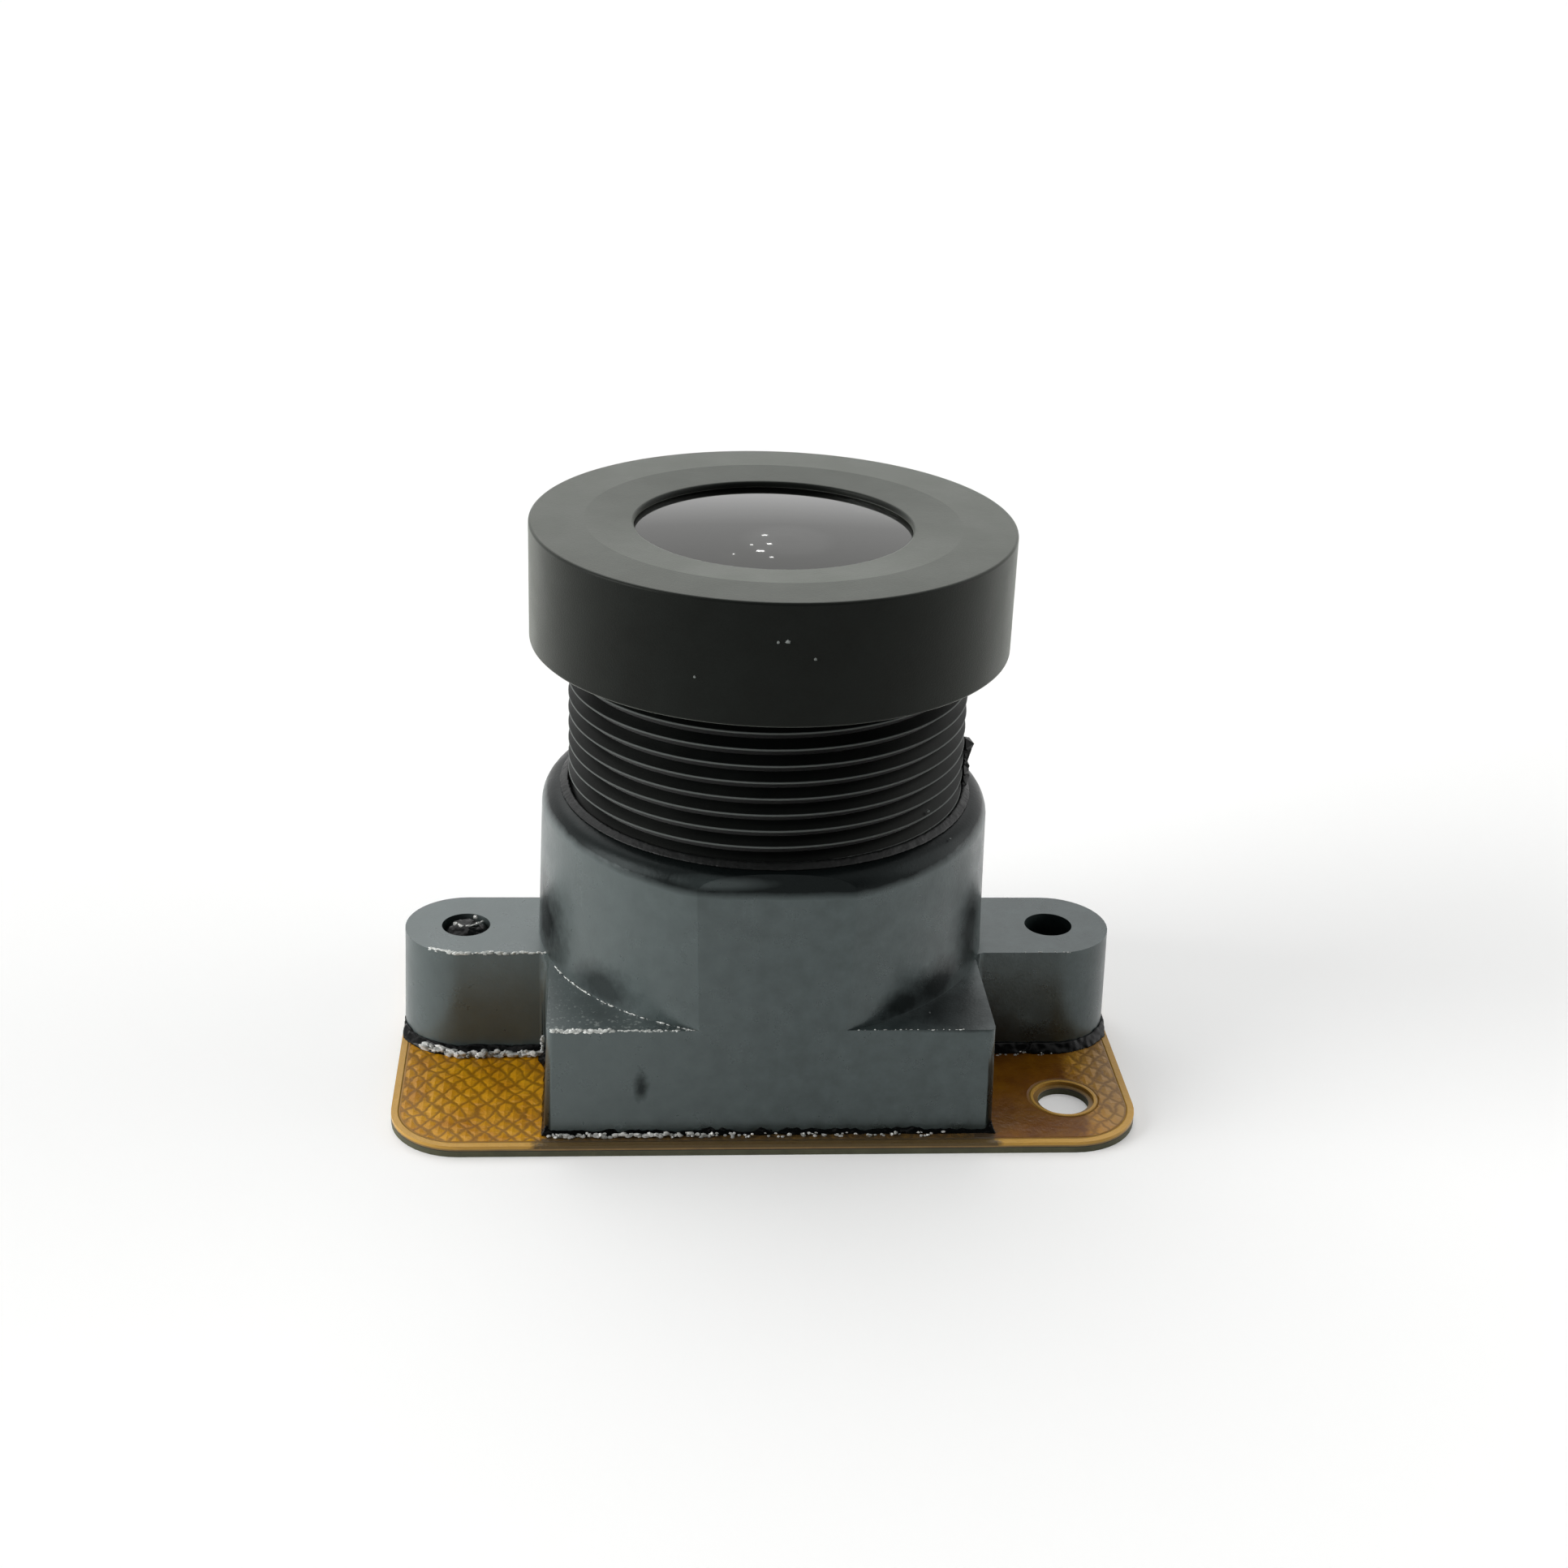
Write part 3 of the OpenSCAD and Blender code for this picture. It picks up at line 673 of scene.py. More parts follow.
def revolve(bm: bmesh.types.BMesh, outline: Sequence[tuple[float, float]], steps: int, closed: bool = True,
            rise: float = 0.0) -> None:
    """Turns an outline once round the lens axis, level or along a thread.

    Args:
        bm: the mesh that takes the shape.
        outline: radius and level of each corner, in order.
        steps: facets in the full turn.
        closed: whether the outline closes on itself; an open one starts and ends on the axis.
        rise: how far the turn climbs; only a level one is merged.
    """
    verts = [bm.verts.new((radius, 0.0, level)) for radius, level in outline]
    edges = [bm.edges.new(pair) for pair in zip(verts, verts[1:] + (verts[:1] if closed else []))]
    bmesh.ops.spin(bm, geom=verts + edges, cent=(0, 0, 0), axis=(0, 0, 1), dvec=(0, 0, rise / steps),
                   angle=math.tau, steps=steps, use_merge=not rise, use_duplicate=False)
    if not rise:
        bmesh.ops.remove_doubles(bm, verts=bm.verts[:], dist=MERGE_TURNED)
        bmesh.ops.recalc_face_normals(bm, faces=bm.faces[:])


def soften(bm: bmesh.types.BMesh, width: float, segments: int, least_angle: float,
           wanted: Callable[[bmesh.types.BMEdge], bool] = lambda edge: True) -> None:
    """Rounds the outward edges that are sharper than an angle.

    Args:
        bm: the mesh.
        width: the bevel's width in millimetres.
        segments: the bevel's steps.
        least_angle: the least angle between the faces, in degrees.
        wanted: picks among the edges found.
    """
    sharp = [e for e in bm.edges if e.is_manifold and e.is_convex
             and e.calc_face_angle(0.0) > math.radians(least_angle) and wanted(e)]
    bmesh.ops.bevel(bm, geom=sharp, offset=width, segments=segments, profile=0.5, affect="EDGES",
                    material=-1, clamp_overlap=True)


def solid_copy(node: str) -> bmesh.types.BMesh:
    """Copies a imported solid's mesh in millimetres, merged, with flat faces in one piece.

    Args:
        node: the solid's name.

    Returns:
        The copy as a new bmesh.
    """
    bm = bmesh.new()
    bm.from_mesh(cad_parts[node].data)
    bmesh.ops.scale(bm, vec=(1 / MM,) * 3, verts=bm.verts[:])
    bmesh.ops.remove_doubles(bm, verts=bm.verts[:], dist=MERGE)
    bmesh.ops.dissolve_limit(bm, angle_limit=math.radians(FLAT_ANGLE), verts=bm.verts[:], edges=bm.edges[:])
    return bm


def make_piece(bm: bmesh.types.BMesh, name: str, finish: Finish, smooth_to: float,
               replaced: Iterable[str] = ()) -> bpy.types.Object:
    """Turns a mesh in millimetres into a dressed piece on the root body.

    Args:
        bm: the mesh, which is freed.
        name: the piece's name.
        finish: its finish.
        smooth_to: edges sharper than this many degrees stay crisp.
        replaced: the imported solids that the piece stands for.

    Returns:
        The new object.
    """
    bmesh.ops.scale(bm, vec=(MM,) * 3, verts=bm.verts[:])
    for face in bm.faces:
        face.smooth = True
    mesh = bpy.data.meshes.new(name)
    bm.to_mesh(mesh)
    bm.free()
    mesh.set_sharp_from_angle(angle=math.radians(smooth_to))
    obj = bpy.data.objects.new(name, mesh)
    bpy.context.scene.collection.objects.link(obj)
    finish.dress(obj)
    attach(obj, ROOT)
    if replaced:
        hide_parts(*replaced)
    LOG.info("%s: %d faces", name, len(mesh.polygons))
    return obj


def dress_node(node: str, finish: Finish) -> None:
    """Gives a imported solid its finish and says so.

    Args:
        node: the solid's name.
        finish: its finish.
    """
    finish.dress(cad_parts[node])
    LOG.info("%s: %s", node, finish.name)


# ---------- lens ----------


@dataclass
class LensBarrel:
    """The turned head and its threaded barrel."""

    head_radius: float = 7.15
    head_height: float = 3.59
    opening_radius: float = 4.09
    dish_radius: float = 5.54
    dish_depth: float = 0.1
    glass_drop: float = 0.2
    seat_radius: float = 4.92
    thread_radius: float = 6.0
    thread_depth: float = 0.27
    thread_pitch: float = 0.5
    thread_crest: float = 0.06
    thread_lead: float = 0.25
    thread_relief: float = 0.55
    start_angle: float = 133.0
    lathe_steps: int = 192
    thread_steps: int = 144
    fade_turns: float = 0.17
    ridge_root: float = 0.04
    edge_round: float = 0.07
    edge_steps: int = 3
    edge_angle: float = 30.0
    smooth_angle: float = 3.2
    near: float = 0.01

    def head_outline(self, bottom: float, top: float) -> list[tuple[float, float]]:
        """Gives the section of the head and the plain barrel.

        Args:
            bottom: level of the barrel's lower end.
            top: level of the head's face.

        Returns:
            Radius and level of each corner, in order.
        """
        root = self.thread_radius - self.thread_depth
        under = top - self.head_height
        face = top - self.dish_depth
        seat = face - self.glass_drop
        return [(self.seat_radius, bottom), (root, bottom), (root, under), (self.head_radius, under),
                (self.head_radius, top), (self.dish_radius, top), (self.opening_radius, face),
                (self.opening_radius, seat), (self.seat_radius, seat)]

    def add_thread(self, bm: bmesh.types.BMesh, bottom: float, under: float) -> None:
        """Winds the right-hand thread ridge round the barrel and fades its two ends.

        Args:
            bm: the mesh that takes the ridge.
            bottom: level of the barrel's lower end.
            under: level of the head's underside.
        """
        root = self.thread_radius - self.thread_depth
        start = bottom + self.thread_lead
        turns = math.floor((under - self.thread_relief - start) / self.thread_pitch + 1e-6)
        half = self.thread_pitch / 2
        flat = self.thread_crest / 2
        rising = [(root - self.ridge_root, 0.0), (root, 0.0), (self.thread_radius - flat / 2, half - flat),
                  (self.thread_radius, half - flat / 2)]
        falling = [(radius, 2 * half - level) for radius, level in reversed(rising)]
        ridge_bm = bmesh.new()
        section = [(radius, start + level) for radius, level in rising + falling]
        revolve(ridge_bm, section, self.thread_steps, rise=self.thread_pitch)
        first = ridge_bm.verts[:] + ridge_bm.edges[:] + ridge_bm.faces[:]
        for number in range(1, turns):
            made = bmesh.ops.duplicate(ridge_bm, geom=first)["geom"]
            bmesh.ops.translate(ridge_bm, vec=(0, 0, number * self.thread_pitch),
                                verts=[g for g in made if isinstance(g, bmesh.types.BMVert)])
        bmesh.ops.remove_doubles(ridge_bm, verts=ridge_bm.verts[:], dist=MERGE)
        bmesh.ops.holes_fill(ridge_bm, edges=[e for e in ridge_bm.edges if e.is_boundary], sides=0)
        for vert in ridge_bm.verts:
            radius = math.hypot(vert.co.x, vert.co.y)
            if radius > root + MERGE:
                turned = (vert.co.z - start - half) / self.thread_pitch
                share = max(0.0, min(1.0, min(turned, turns - turned) / self.fade_turns))
                factor = (root + share * (radius - root)) / radius
                vert.co.x *= factor
                vert.co.y *= factor
        bmesh.ops.rotate(ridge_bm, verts=ridge_bm.verts[:], cent=(0, 0, 0),
                         matrix=Matrix.Rotation(math.radians(self.start_angle), 3, "Z"))
        bmesh.ops.recalc_face_normals(ridge_bm, faces=ridge_bm.faces[:])
        ridge = bpy.data.meshes.new("ridge")
        ridge_bm.to_mesh(ridge)
        ridge_bm.free()
        bm.from_mesh(ridge)
        bpy.data.meshes.remove(ridge)

    def build(self, finish: Finish, thread: Finish) -> bpy.types.Object:
        """Models the barrel.

        Args:
            finish: the head's finish.
            thread: the finish under the head.

        Returns:
            The barrel.
        """
        low, high = box_mm("lens_barrel")
        under = high.z - self.head_height
        bm = bmesh.new()
        revolve(bm, self.head_outline(low.z, high.z), self.lathe_steps)
        least = under - self.near
        soften(bm, self.edge_round, self.edge_steps, self.edge_angle,
               lambda e: all(v.co.z > least for v in e.verts))
        self.add_thread(bm, low.z, under)
        obj = make_piece(bm, "lens_barrel_turned", finish, self.smooth_angle, ["lens_barrel"])
        obj.data.materials.append(thread.material())
        for face in obj.data.polygons:
            face.material_index = int(face.center.z < least * MM)
        return obj


@dataclass
class FrontGlass:
    """The domed front element."""

    curve: float = 60.0
    radius: float = 4.9
    opening_radius: float = 4.09
    edge_height: float = 2.24
    centre_thickness: float = 0.82
    hollow_curve: float = 4.0
    steps: int = 128
    arc_steps: int = 24
    smooth_angle: float = 28.0

    def build(self, finish: Finish) -> bpy.types.Object:
        """Models the element as one turned section.

        Args:
            finish: its finish.

        Returns:
            The front glass.
        """
        low, high = box_mm("front_element")
        sag = self.curve - math.sqrt(self.curve ** 2 - self.opening_radius ** 2)
        rim = high.z - sag
        turns = [number / self.arc_steps for number in range(self.arc_steps + 1)]
        radii = [self.opening_radius * math.sin(t * math.pi / 2) for t in turns]
        crown = [(r, rim + math.sqrt(self.curve ** 2 - r ** 2) - self.curve + sag) for r in radii]
        apex = high.z - self.centre_thickness
        centre = apex - self.hollow_curve
        bottom = rim - self.edge_height
        widest = math.acos(min(1.0, (bottom - centre) / self.hollow_curve))
        angles = [widest * (1 - t) for t in turns]
        hollow = [(self.hollow_curve * math.sin(a), centre + self.hollow_curve * math.cos(a)) for a in angles]
        bm = bmesh.new()
        revolve(bm, crown + [(self.radius, rim), (self.radius, bottom)] + hollow, self.steps, closed=False)
        return make_piece(bm, "front_glass", finish, self.smooth_angle, ["front_element"])


# ---------- holder and board ----------


@dataclass
class MouldedHolder:
    """The moulded holder with its edges softened and its round walls shaded as true rounds."""

    edge_round: float = 0.06
    edge_steps: int = 3
    corner_round: float = 0.22
    corner_steps: int = 4
    draft: float = 1.6
    tower_foot_radius: float = 6.93
    tower_height: float = 5.01
    shoulder_radius: float = 0.65
    block_height: float = 3.43
    ear_x: float = 9.2
    ear_radius: float = 1.88
    corner_angle: float = 80.0
    corner_least_x: float = 6.5
    corner_y: tuple[float, float] = (6.5, 6.8)
    corner_least_height: float = 2.0
    edge_angle: float = 35.0
    edge_clearance: float = 0.05
    smooth_angle: float = 40.0
    near: float = 0.08
    flat_area: float = 3.2
    flat_rise: float = 0.9995
    tower_facing: float = 0.2
    ear_facing: float = 0.9

    def facing(self, point: Vector, face: bpy.types.MeshPolygon, foot: float) -> Vector | None:
        """Gives the true direction of a face's surface at a point.

        Args:
            point: the point in millimetres.
            face: the face that it belongs to.
            foot: level of the holder's foot.

        Returns:
            The direction, or None where the face is part of a softened edge.
        """
        if face.area > self.flat_area * MM * MM or abs(face.normal.z) > self.flat_rise:
            return face.normal.copy()
        slope = math.tan(math.radians(self.draft))
        block_top = foot + self.block_height
        shoulder = block_top + self.tower_height - self.shoulder_radius
        out = Vector((point.x, point.y, 0.0))
        if point.z > block_top - self.near and out.normalized().dot(face.normal) > self.tower_facing:
            straight = self.tower_foot_radius - slope * (min(point.z, shoulder) - block_top)
            if point.z <= shoulder and abs(out.length - straight) < self.near:
                return Vector((out.x, out.y, out.length * slope)).normalized()
            if point.z > shoulder and out.length > straight - self.shoulder_radius:
                rise = out.length - straight + self.shoulder_radius
                return (out.normalized() * rise + Vector((0, 0, point.z - shoulder))).normalized()
        side = math.copysign(self.ear_x, point.x)
        out = Vector((point.x - side, point.y, 0.0))
        wall = self.ear_radius + slope * (block_top - point.z)
        if (out.x * side >= -self.near and abs(out.length - wall) < self.near
                and out.normalized().dot(face.normal) > self.ear_facing):
            return Vector((out.x, out.y, out.length * slope)).normalized()
        return None

    def shade(self, mesh: bpy.types.Mesh, foot: float) -> None:
        """Sets the exact surface directions, which softened edges pick up at their borders.

        Args:
            mesh: the holder's mesh in metres.
            foot: level of the holder's foot in millimetres.
        """
        normals = [corner.vector.copy() for corner in mesh.corner_normals]
        known: dict[int, list[Vector]] = {}
        soft = []
        for face in mesh.polygons:
            for loop, vert in zip(face.loop_indices, face.vertices):
                found = self.facing(mesh.vertices[vert].co / MM, face, foot)
                if found:
                    normals[loop] = found
                    known.setdefault(vert, []).append(found)
                else:
                    soft.append((loop, vert, face.normal.copy()))
        for loop, vert, own in soft:
            if vert in known:
                normals[loop] = max(known[vert], key=own.dot)
        mesh.normals_split_custom_set(normals)

    def is_corner(self, edge: bmesh.types.BMEdge) -> bool:
        """Tells whether an edge is one of the block's four upright corners.

        Args:
            edge: the edge.

        Returns:
            True for an upright corner.
        """
        near, far = self.corner_y
        placed = all(abs(v.co.x) > self.corner_least_x and near < abs(v.co.y) < far for v in edge.verts)
        return placed and abs(edge.verts[0].co.z - edge.verts[1].co.z) > self.corner_least_height

    def build(self, finish: Finish) -> bpy.types.Object:
        """Models the holder from its solid.

        Args:
            finish: its finish.

        Returns:
            The holder.
        """
        bm = solid_copy("lens_holder")
        least = box_mm("cover_film")[1].z + self.edge_clearance
        soften(bm, self.corner_round, self.corner_steps, self.corner_angle, self.is_corner)
        soften(bm, self.edge_round, self.edge_steps, self.edge_angle,
               lambda e: all(v.co.z > least for v in e.verts))
        obj = make_piece(bm, "holder_moulding", finish, self.smooth_angle, ["lens_holder"])
        self.shade(obj.data, box_mm("lens_holder")[0].z)
        return obj


@dataclass
class FlexBoard:
    """The stiffened flexible board: its layers keep their solids and get their finishes."""

    corner: float = 2.1
    copper_inset: float = 0.25
    hole_clear: float = 1.06
    hole_x: float = 9.13
    hole_y: float = -4.83

    def film_finish(self) -> FilmFinish:
        """Makes the cover film's finish from the board's own sizes.

        Returns:
            The finish.
        """
        high = box_mm("cover_film")[1]
        # polyimide cover film pressed over etched copper: glossy amber with sunken hatch lines
        return FilmFinish("polyimide_cover_film", Slot.FILM, "b07406", "d69c12", 0.7, 0.25, 0.04, 0.34,
                          specular=0.22, half_width_mm=high.x, half_depth_mm=high.y, corner_mm=self.corner,
                          inset_mm=self.copper_inset, hole_x_mm=self.hole_x, hole_y_mm=self.hole_y,
                          clear_radius_mm=self.hole_clear)

    def build(self, finishes: dict[str, Finish]) -> None:
        """Dresses the layers.

        Args:
            finishes: a finish for each layer's solid.
        """
        for node, finish in finishes.items():
            dress_node(node, finish)


# ---------- adhesive, burrs and dust ----------


@dataclass
class CuredGlue:
    """A glue body laid by hand: its solid's form with an uneven, rounded skin.

    Ahead of slim_from, the glue's reach past the block's wall shrinks to the share slim.
    """

    node: str
    name: str
    voxel: float = 0.045
    swell: float = 0.05
    lump: float = 0.35
    fine_lumps: float = 2.7
    fine_share: float = 0.6
    relax: int = 2
    relax_share: float = 0.5
    smooth_angle: float = 180.0
    slim: float = 1.0
    slim_from: float = -2.5
    slim_over: float = 0.4
    wall: tuple[float, float] = (6.55, 6.6)

    def skin(self) -> bmesh.types.BMesh:
        """Gives the solid an even mesh of small cells.

        Returns:
            The mesh, in millimetres.
        """
        bm = solid_copy(self.node)
        mesh = bpy.data.meshes.new("raw")
        bm.to_mesh(mesh)
        raw = bpy.data.objects.new("raw", mesh)
        bpy.context.scene.collection.objects.link(raw)
        cells = raw.modifiers.new("cells", "REMESH")
        cells.mode = "VOXEL"
        cells.voxel_size = self.voxel
        even = raw.evaluated_get(bpy.context.evaluated_depsgraph_get()).to_mesh()
        bm.clear()
        bm.from_mesh(even)
        bpy.data.objects.remove(raw)
        bpy.data.meshes.remove(mesh)
        return bm

    def slimmed(self, point: Vector) -> Vector:
        """Draws a point in towards the block's wall.

        Args:
            point: the point.

        Returns:
            Where it goes.
        """
        share = max(0.0, min(1.0, (self.slim_from - point.y) / self.slim_over)) * (1 - self.slim)
        moved = point.copy()
        for axis, edge in enumerate(self.wall):
            over = max(0.0, abs(point[axis]) - edge)
            moved[axis] -= math.copysign(over * share, point[axis])
        return moved

    def build(self, finish: Finish) -> bpy.types.Object:
        """Models the glue inside its solid's box.

        Args:
            finish: its finish.

        Returns:
            The glue body.
        """
        low, high = box_mm(self.node)
        bm = self.skin()
        for _ in range(self.relax):
            bmesh.ops.smooth_vert(bm, verts=bm.verts[:], factor=self.relax_share, use_axis_x=True,
                                  use_axis_y=True, use_axis_z=True)
        bm.normal_update()
        for vert in bm.verts:
            lumps = (noise.noise(vert.co / self.lump)
                     + self.fine_share * noise.noise(vert.co * self.fine_lumps / self.lump))
            moved = self.slimmed(vert.co) + vert.normal * self.swell * lumps
            vert.co = [max(a, min(b, c)) for a, b, c in zip(low, high, moved)]
        return make_piece(bm, self.name, finish, self.smooth_angle, [self.node])


@dataclass(frozen=True)
class Trail:
    """A run of small bits along a line, or round one point."""

    points: tuple[Point, ...]
    count: int
    least: float
    most: float
    spread: float
    stretch: float = 1.0


@dataclass
class Bits:
    """Small irregular bits on the surfaces: burrs, glue crumbs or dust."""

    name: str
    seed: int
    trails: tuple[Trail, ...]
    ragged: float = 0.2
    width: tuple[float, float] = (0.7, 1.1)
    smooth_angle: float = 40.0

    def add_bit(self, bm: bmesh.types.BMesh, place: Vector, along: Vector, size: float, stretch: float,
                rng: random.Random) -> None:
        """Adds one ragged bit.

        Args:
            bm: the mesh that takes it.
            place: its middle.
            along: the direction in which it is stretched.
            size: its width.
            stretch: its length over its width.
            rng: the seeded source of chance.
        """
        made = bmesh.ops.create_icosphere(bm, subdivisions=1, radius=size / 2)["verts"]
        for vert in made:
            vert.co *= 1 + rng.uniform(-self.ragged, self.ragged)
        length = 1 + (stretch - 1) * rng.random()
        bmesh.ops.scale(bm, vec=(length, rng.uniform(*self.width), rng.uniform(*self.width)), verts=made)
        turn = along.to_track_quat("X", "Z").to_matrix() if along.length > 0 else Matrix.Identity(3)
        bmesh.ops.rotate(bm, verts=made, cent=(0, 0, 0), matrix=turn)
        bmesh.ops.translate(bm, vec=place, verts=made)

    def build(self, finish: Finish) -> bpy.types.Object:
        """Scatters the bits along their trails.

        Args:
            finish: their finish.

        Returns:
            All the bits as one piece.
        """
        rng = random.Random(self.seed)
        bm = bmesh.new()
        for trail in self.trails:
            line = [Vector(p) for p in trail.points]
            for _ in range(trail.count):
                reach = rng.random() * (len(line) - 1)
                leg = min(int(reach), len(line) - 2) if len(line) > 1 else 0
                start, end = line[leg], line[min(leg + 1, len(line) - 1)]
                jitter = Vector([rng.uniform(-trail.spread, trail.spread) for _ in range(3)])
                place = start.lerp(end, reach - leg) + jitter
                self.add_bit(bm, place, end - start, rng.uniform(trail.least, trail.most), trail.stretch, rng)
        return make_piece(bm, self.name, finish, self.smooth_angle)


def arc(radius: float, height: float, start: float, end: float, steps: int) -> tuple[Point, ...]:
    """Gives points on a level arc round the lens axis.

    Args:
        radius: the arc's radius.
        height: its level.
        start: its first angle in degrees, counter-clockwise from +X.
        end: its last angle.
        steps: number of legs.

    Returns:
        The points in order.
    """
    turns = [math.radians(start + (end - start) * i / steps) for i in range(steps + 1)]
    return tuple((radius * math.cos(t), radius * math.sin(t), height) for t in turns)


def level(places: Sequence[float], height: float, *rest: float) -> Trail:
    """Lays a trail at one level.

    Args:
        places: x and y of each point in turn.
        height: the level.
        rest: the trail's count, least and most size, spread and stretch.

    Returns:
        The trail.
    """
    return Trail(tuple((x, y, height) for x, y in zip(places[::2], places[1::2])), *rest)


# ---------- studio ----------


@dataclass
class Studio:
    """The floor, the soft light and the camera."""

    floor_half: float = 2.0
    floor_colour: str = "e8e8e7"
    floor_roughness: float = 0.9
    floor_lift: float = 0.22
    ambient: float = 0.42
    unlit: Point = (-0.07, -0.9, 0.3)
    unlit_fade: tuple[float, float] = (0.5, 0.8)
    unlit_share: float = 0.08
    lamps: tuple[tuple[str, Point, float, float], ...] = (
        ("back_lamp", (-0.2, 0.5, 0.85), 1.2, 60.0), ("left_lamp", (-0.95, -0.2, 0.3), 2.7, 40.0),
        ("right_lamp", (0.92, 0.1, 0.35), 0.8, 50.0))
    camera_place: Point = (-0.0048684, -0.0651904, 0.0381578)
    camera_yaw: float = 4.789
    camera_pitch: float = 24.268
    camera_roll: float = 2.217
    lens_mm: float = 53.62
    sensor_mm: float = 36.0
    clip: tuple[float, float] = (0.001, 20.0)
    glass_curve: float = 60.0
    glint_distance: float = 0.4
    glint_level: float = 16.8
    glint_strength: float = 12.0
    glints: tuple[tuple[float, float, float, float], ...] = (
        (-0.32, -0.89, 0.25, 0.09), (-0.23, -1.62, 0.23, 0.11), (-0.75, -1.71, 0.13, 0.08),
        (-0.52, -2.21, 0.36, 0.16), (-0.23, -2.7, 0.16, 0.09), (-1.29, -2.45, 0.09, 0.09))

    def floor(self) -> None:
        """Lays the pale floor, which keeps the object's shadow."""
        bm = bmesh.new()
        bmesh.ops.create_grid(bm, x_segments=1, y_segments=1, size=self.floor_half)
        mesh = bpy.data.meshes.new("floor")
        bm.to_mesh(mesh)
        bm.free()
        obj = bpy.data.objects.new("floor", mesh)
        bpy.context.scene.collection.objects.link(obj)
        made = bpy.data.materials.new("pale_paper_floor")
        made.use_nodes = True
        tree = made.node_tree
        shader = tree.nodes["Principled BSDF"]
        for name, value in (("Base Color", linear(self.floor_colour)), ("Roughness", self.floor_roughness),
                            ("Specular IOR Level", 0.0), ("Emission Color", WHITE)):
            shader.inputs[name].default_value = value
        tree.links.new(Step.TIMES(self.seen(tree), self.floor_lift), shader.inputs["Emission Strength"])
        mesh.materials.append(made)

    def seen(self, tree: Tree) -> Socket:
        """Tells the rays that look at the surroundings from those that light the object.

        Args:
            tree: the node tree of the floor or the world.

        Returns:
            A socket that is 1 for camera, glossy and transmission rays.
        """
        rays = add_node(tree, "ShaderNodeLightPath").outputs
        return Step.MOST(rays["Is Camera Ray"], rays["Is Glossy Ray"], rays["Is Transmission Ray"])

    def world(self) -> None:
        """Sets the surrounding light, with a white background for what sees it directly."""
        world = bpy.data.worlds.new("studio")
        bpy.context.scene.world = world
        world.use_nodes = True
        tree = world.node_tree
        strength = Step.FADE(self.seen(tree), 0.0, 1.0, self.ambient, 1.0)
        way = add_node(tree, "ShaderNodeTexCoord").outputs["Generated"]
        front = Step.ALONG(way, Vector(self.unlit).normalized())
        lit = Step.FADE(front, *self.unlit_fade, 1.0, self.unlit_share)
        kept = Step.MOST(lit, add_node(tree, "ShaderNodeLightPath").outputs["Is Camera Ray"])
        back = tree.nodes["Background"]
        back.inputs["Color"].default_value = WHITE
        tree.links.new(Step.TIMES(strength, kept), back.inputs["Strength"])

    def lamp(self, name: str, toward: Point, strength: float, spread: float) -> None:
        """Adds a soft far-away light.

        Args:
            name: the lamp's name.
            toward: the direction from the object to the lamp.
            strength: its light on a surface that faces it.
            spread: its width in degrees.
        """
        data = bpy.data.lights.new(name, "SUN")
        data.energy = strength
        data.angle = math.radians(spread)
        obj = bpy.data.objects.new(name, data)
        obj.rotation_mode = "QUATERNION"
        obj.rotation_quaternion = Vector(toward).to_track_quat("Z", "Y")
        bpy.context.scene.collection.objects.link(obj)

    def glint_lamps(self) -> None:
        """Hangs the small square ceiling lamps that show as glints in the front glass."""
        eye = Vector(self.camera_place)
        for number, (x, y, width, height) in enumerate(self.glints):
            spot = Vector((x, y, self.glint_level)) * MM
            ray = (spot - eye).normalized()
            normal = Vector((x, y, self.glass_curve)).normalized()
            mirrored = ray - 2 * ray.dot(normal) * normal
            grow = (self.glint_distance + (spot - eye).length) / (spot - eye).length * MM
            data = bpy.data.lights.new(f"glint_lamp_{number}", "AREA")
            data.shape = "RECTANGLE"
            data.size = width * grow
            data.size_y = height * grow
            data.energy = self.glint_strength * math.pi * data.size * data.size_y
            obj = bpy.data.objects.new(f"glint_lamp_{number}", data)
            obj.rotation_mode = "QUATERNION"
            obj.rotation_quaternion = mirrored.to_track_quat("Z", "Y")
            obj.location = spot + mirrored * self.glint_distance
            obj.visible_camera = False
            bpy.context.scene.collection.objects.link(obj)

    def camera(self) -> None:
        """Places the camera."""
        data = bpy.data.cameras.new("camera")
        data.sensor_width = self.sensor_mm
        data.lens = self.lens_mm
        data.clip_start, data.clip_end = self.clip
        obj = bpy.data.objects.new("camera", data)
        turn = (Matrix.Rotation(-math.radians(self.camera_yaw), 4, "Z")
                @ Matrix.Rotation(math.radians(90 - self.camera_pitch), 4, "X")
                @ Matrix.Rotation(math.radians(self.camera_roll), 4, "Z"))
        obj.matrix_world = Matrix.Translation(self.camera_place) @ turn
        bpy.context.scene.collection.objects.link(obj)
        bpy.context.scene.camera = obj

    def build(self) -> None:
        """Sets up the whole studio."""
        bpy.context.scene.view_settings.view_transform = "Standard"
        self.floor()
        self.world()
        for lamp in self.lamps:
            self.lamp(*lamp)
        self.glint_lamps()
        self.camera()


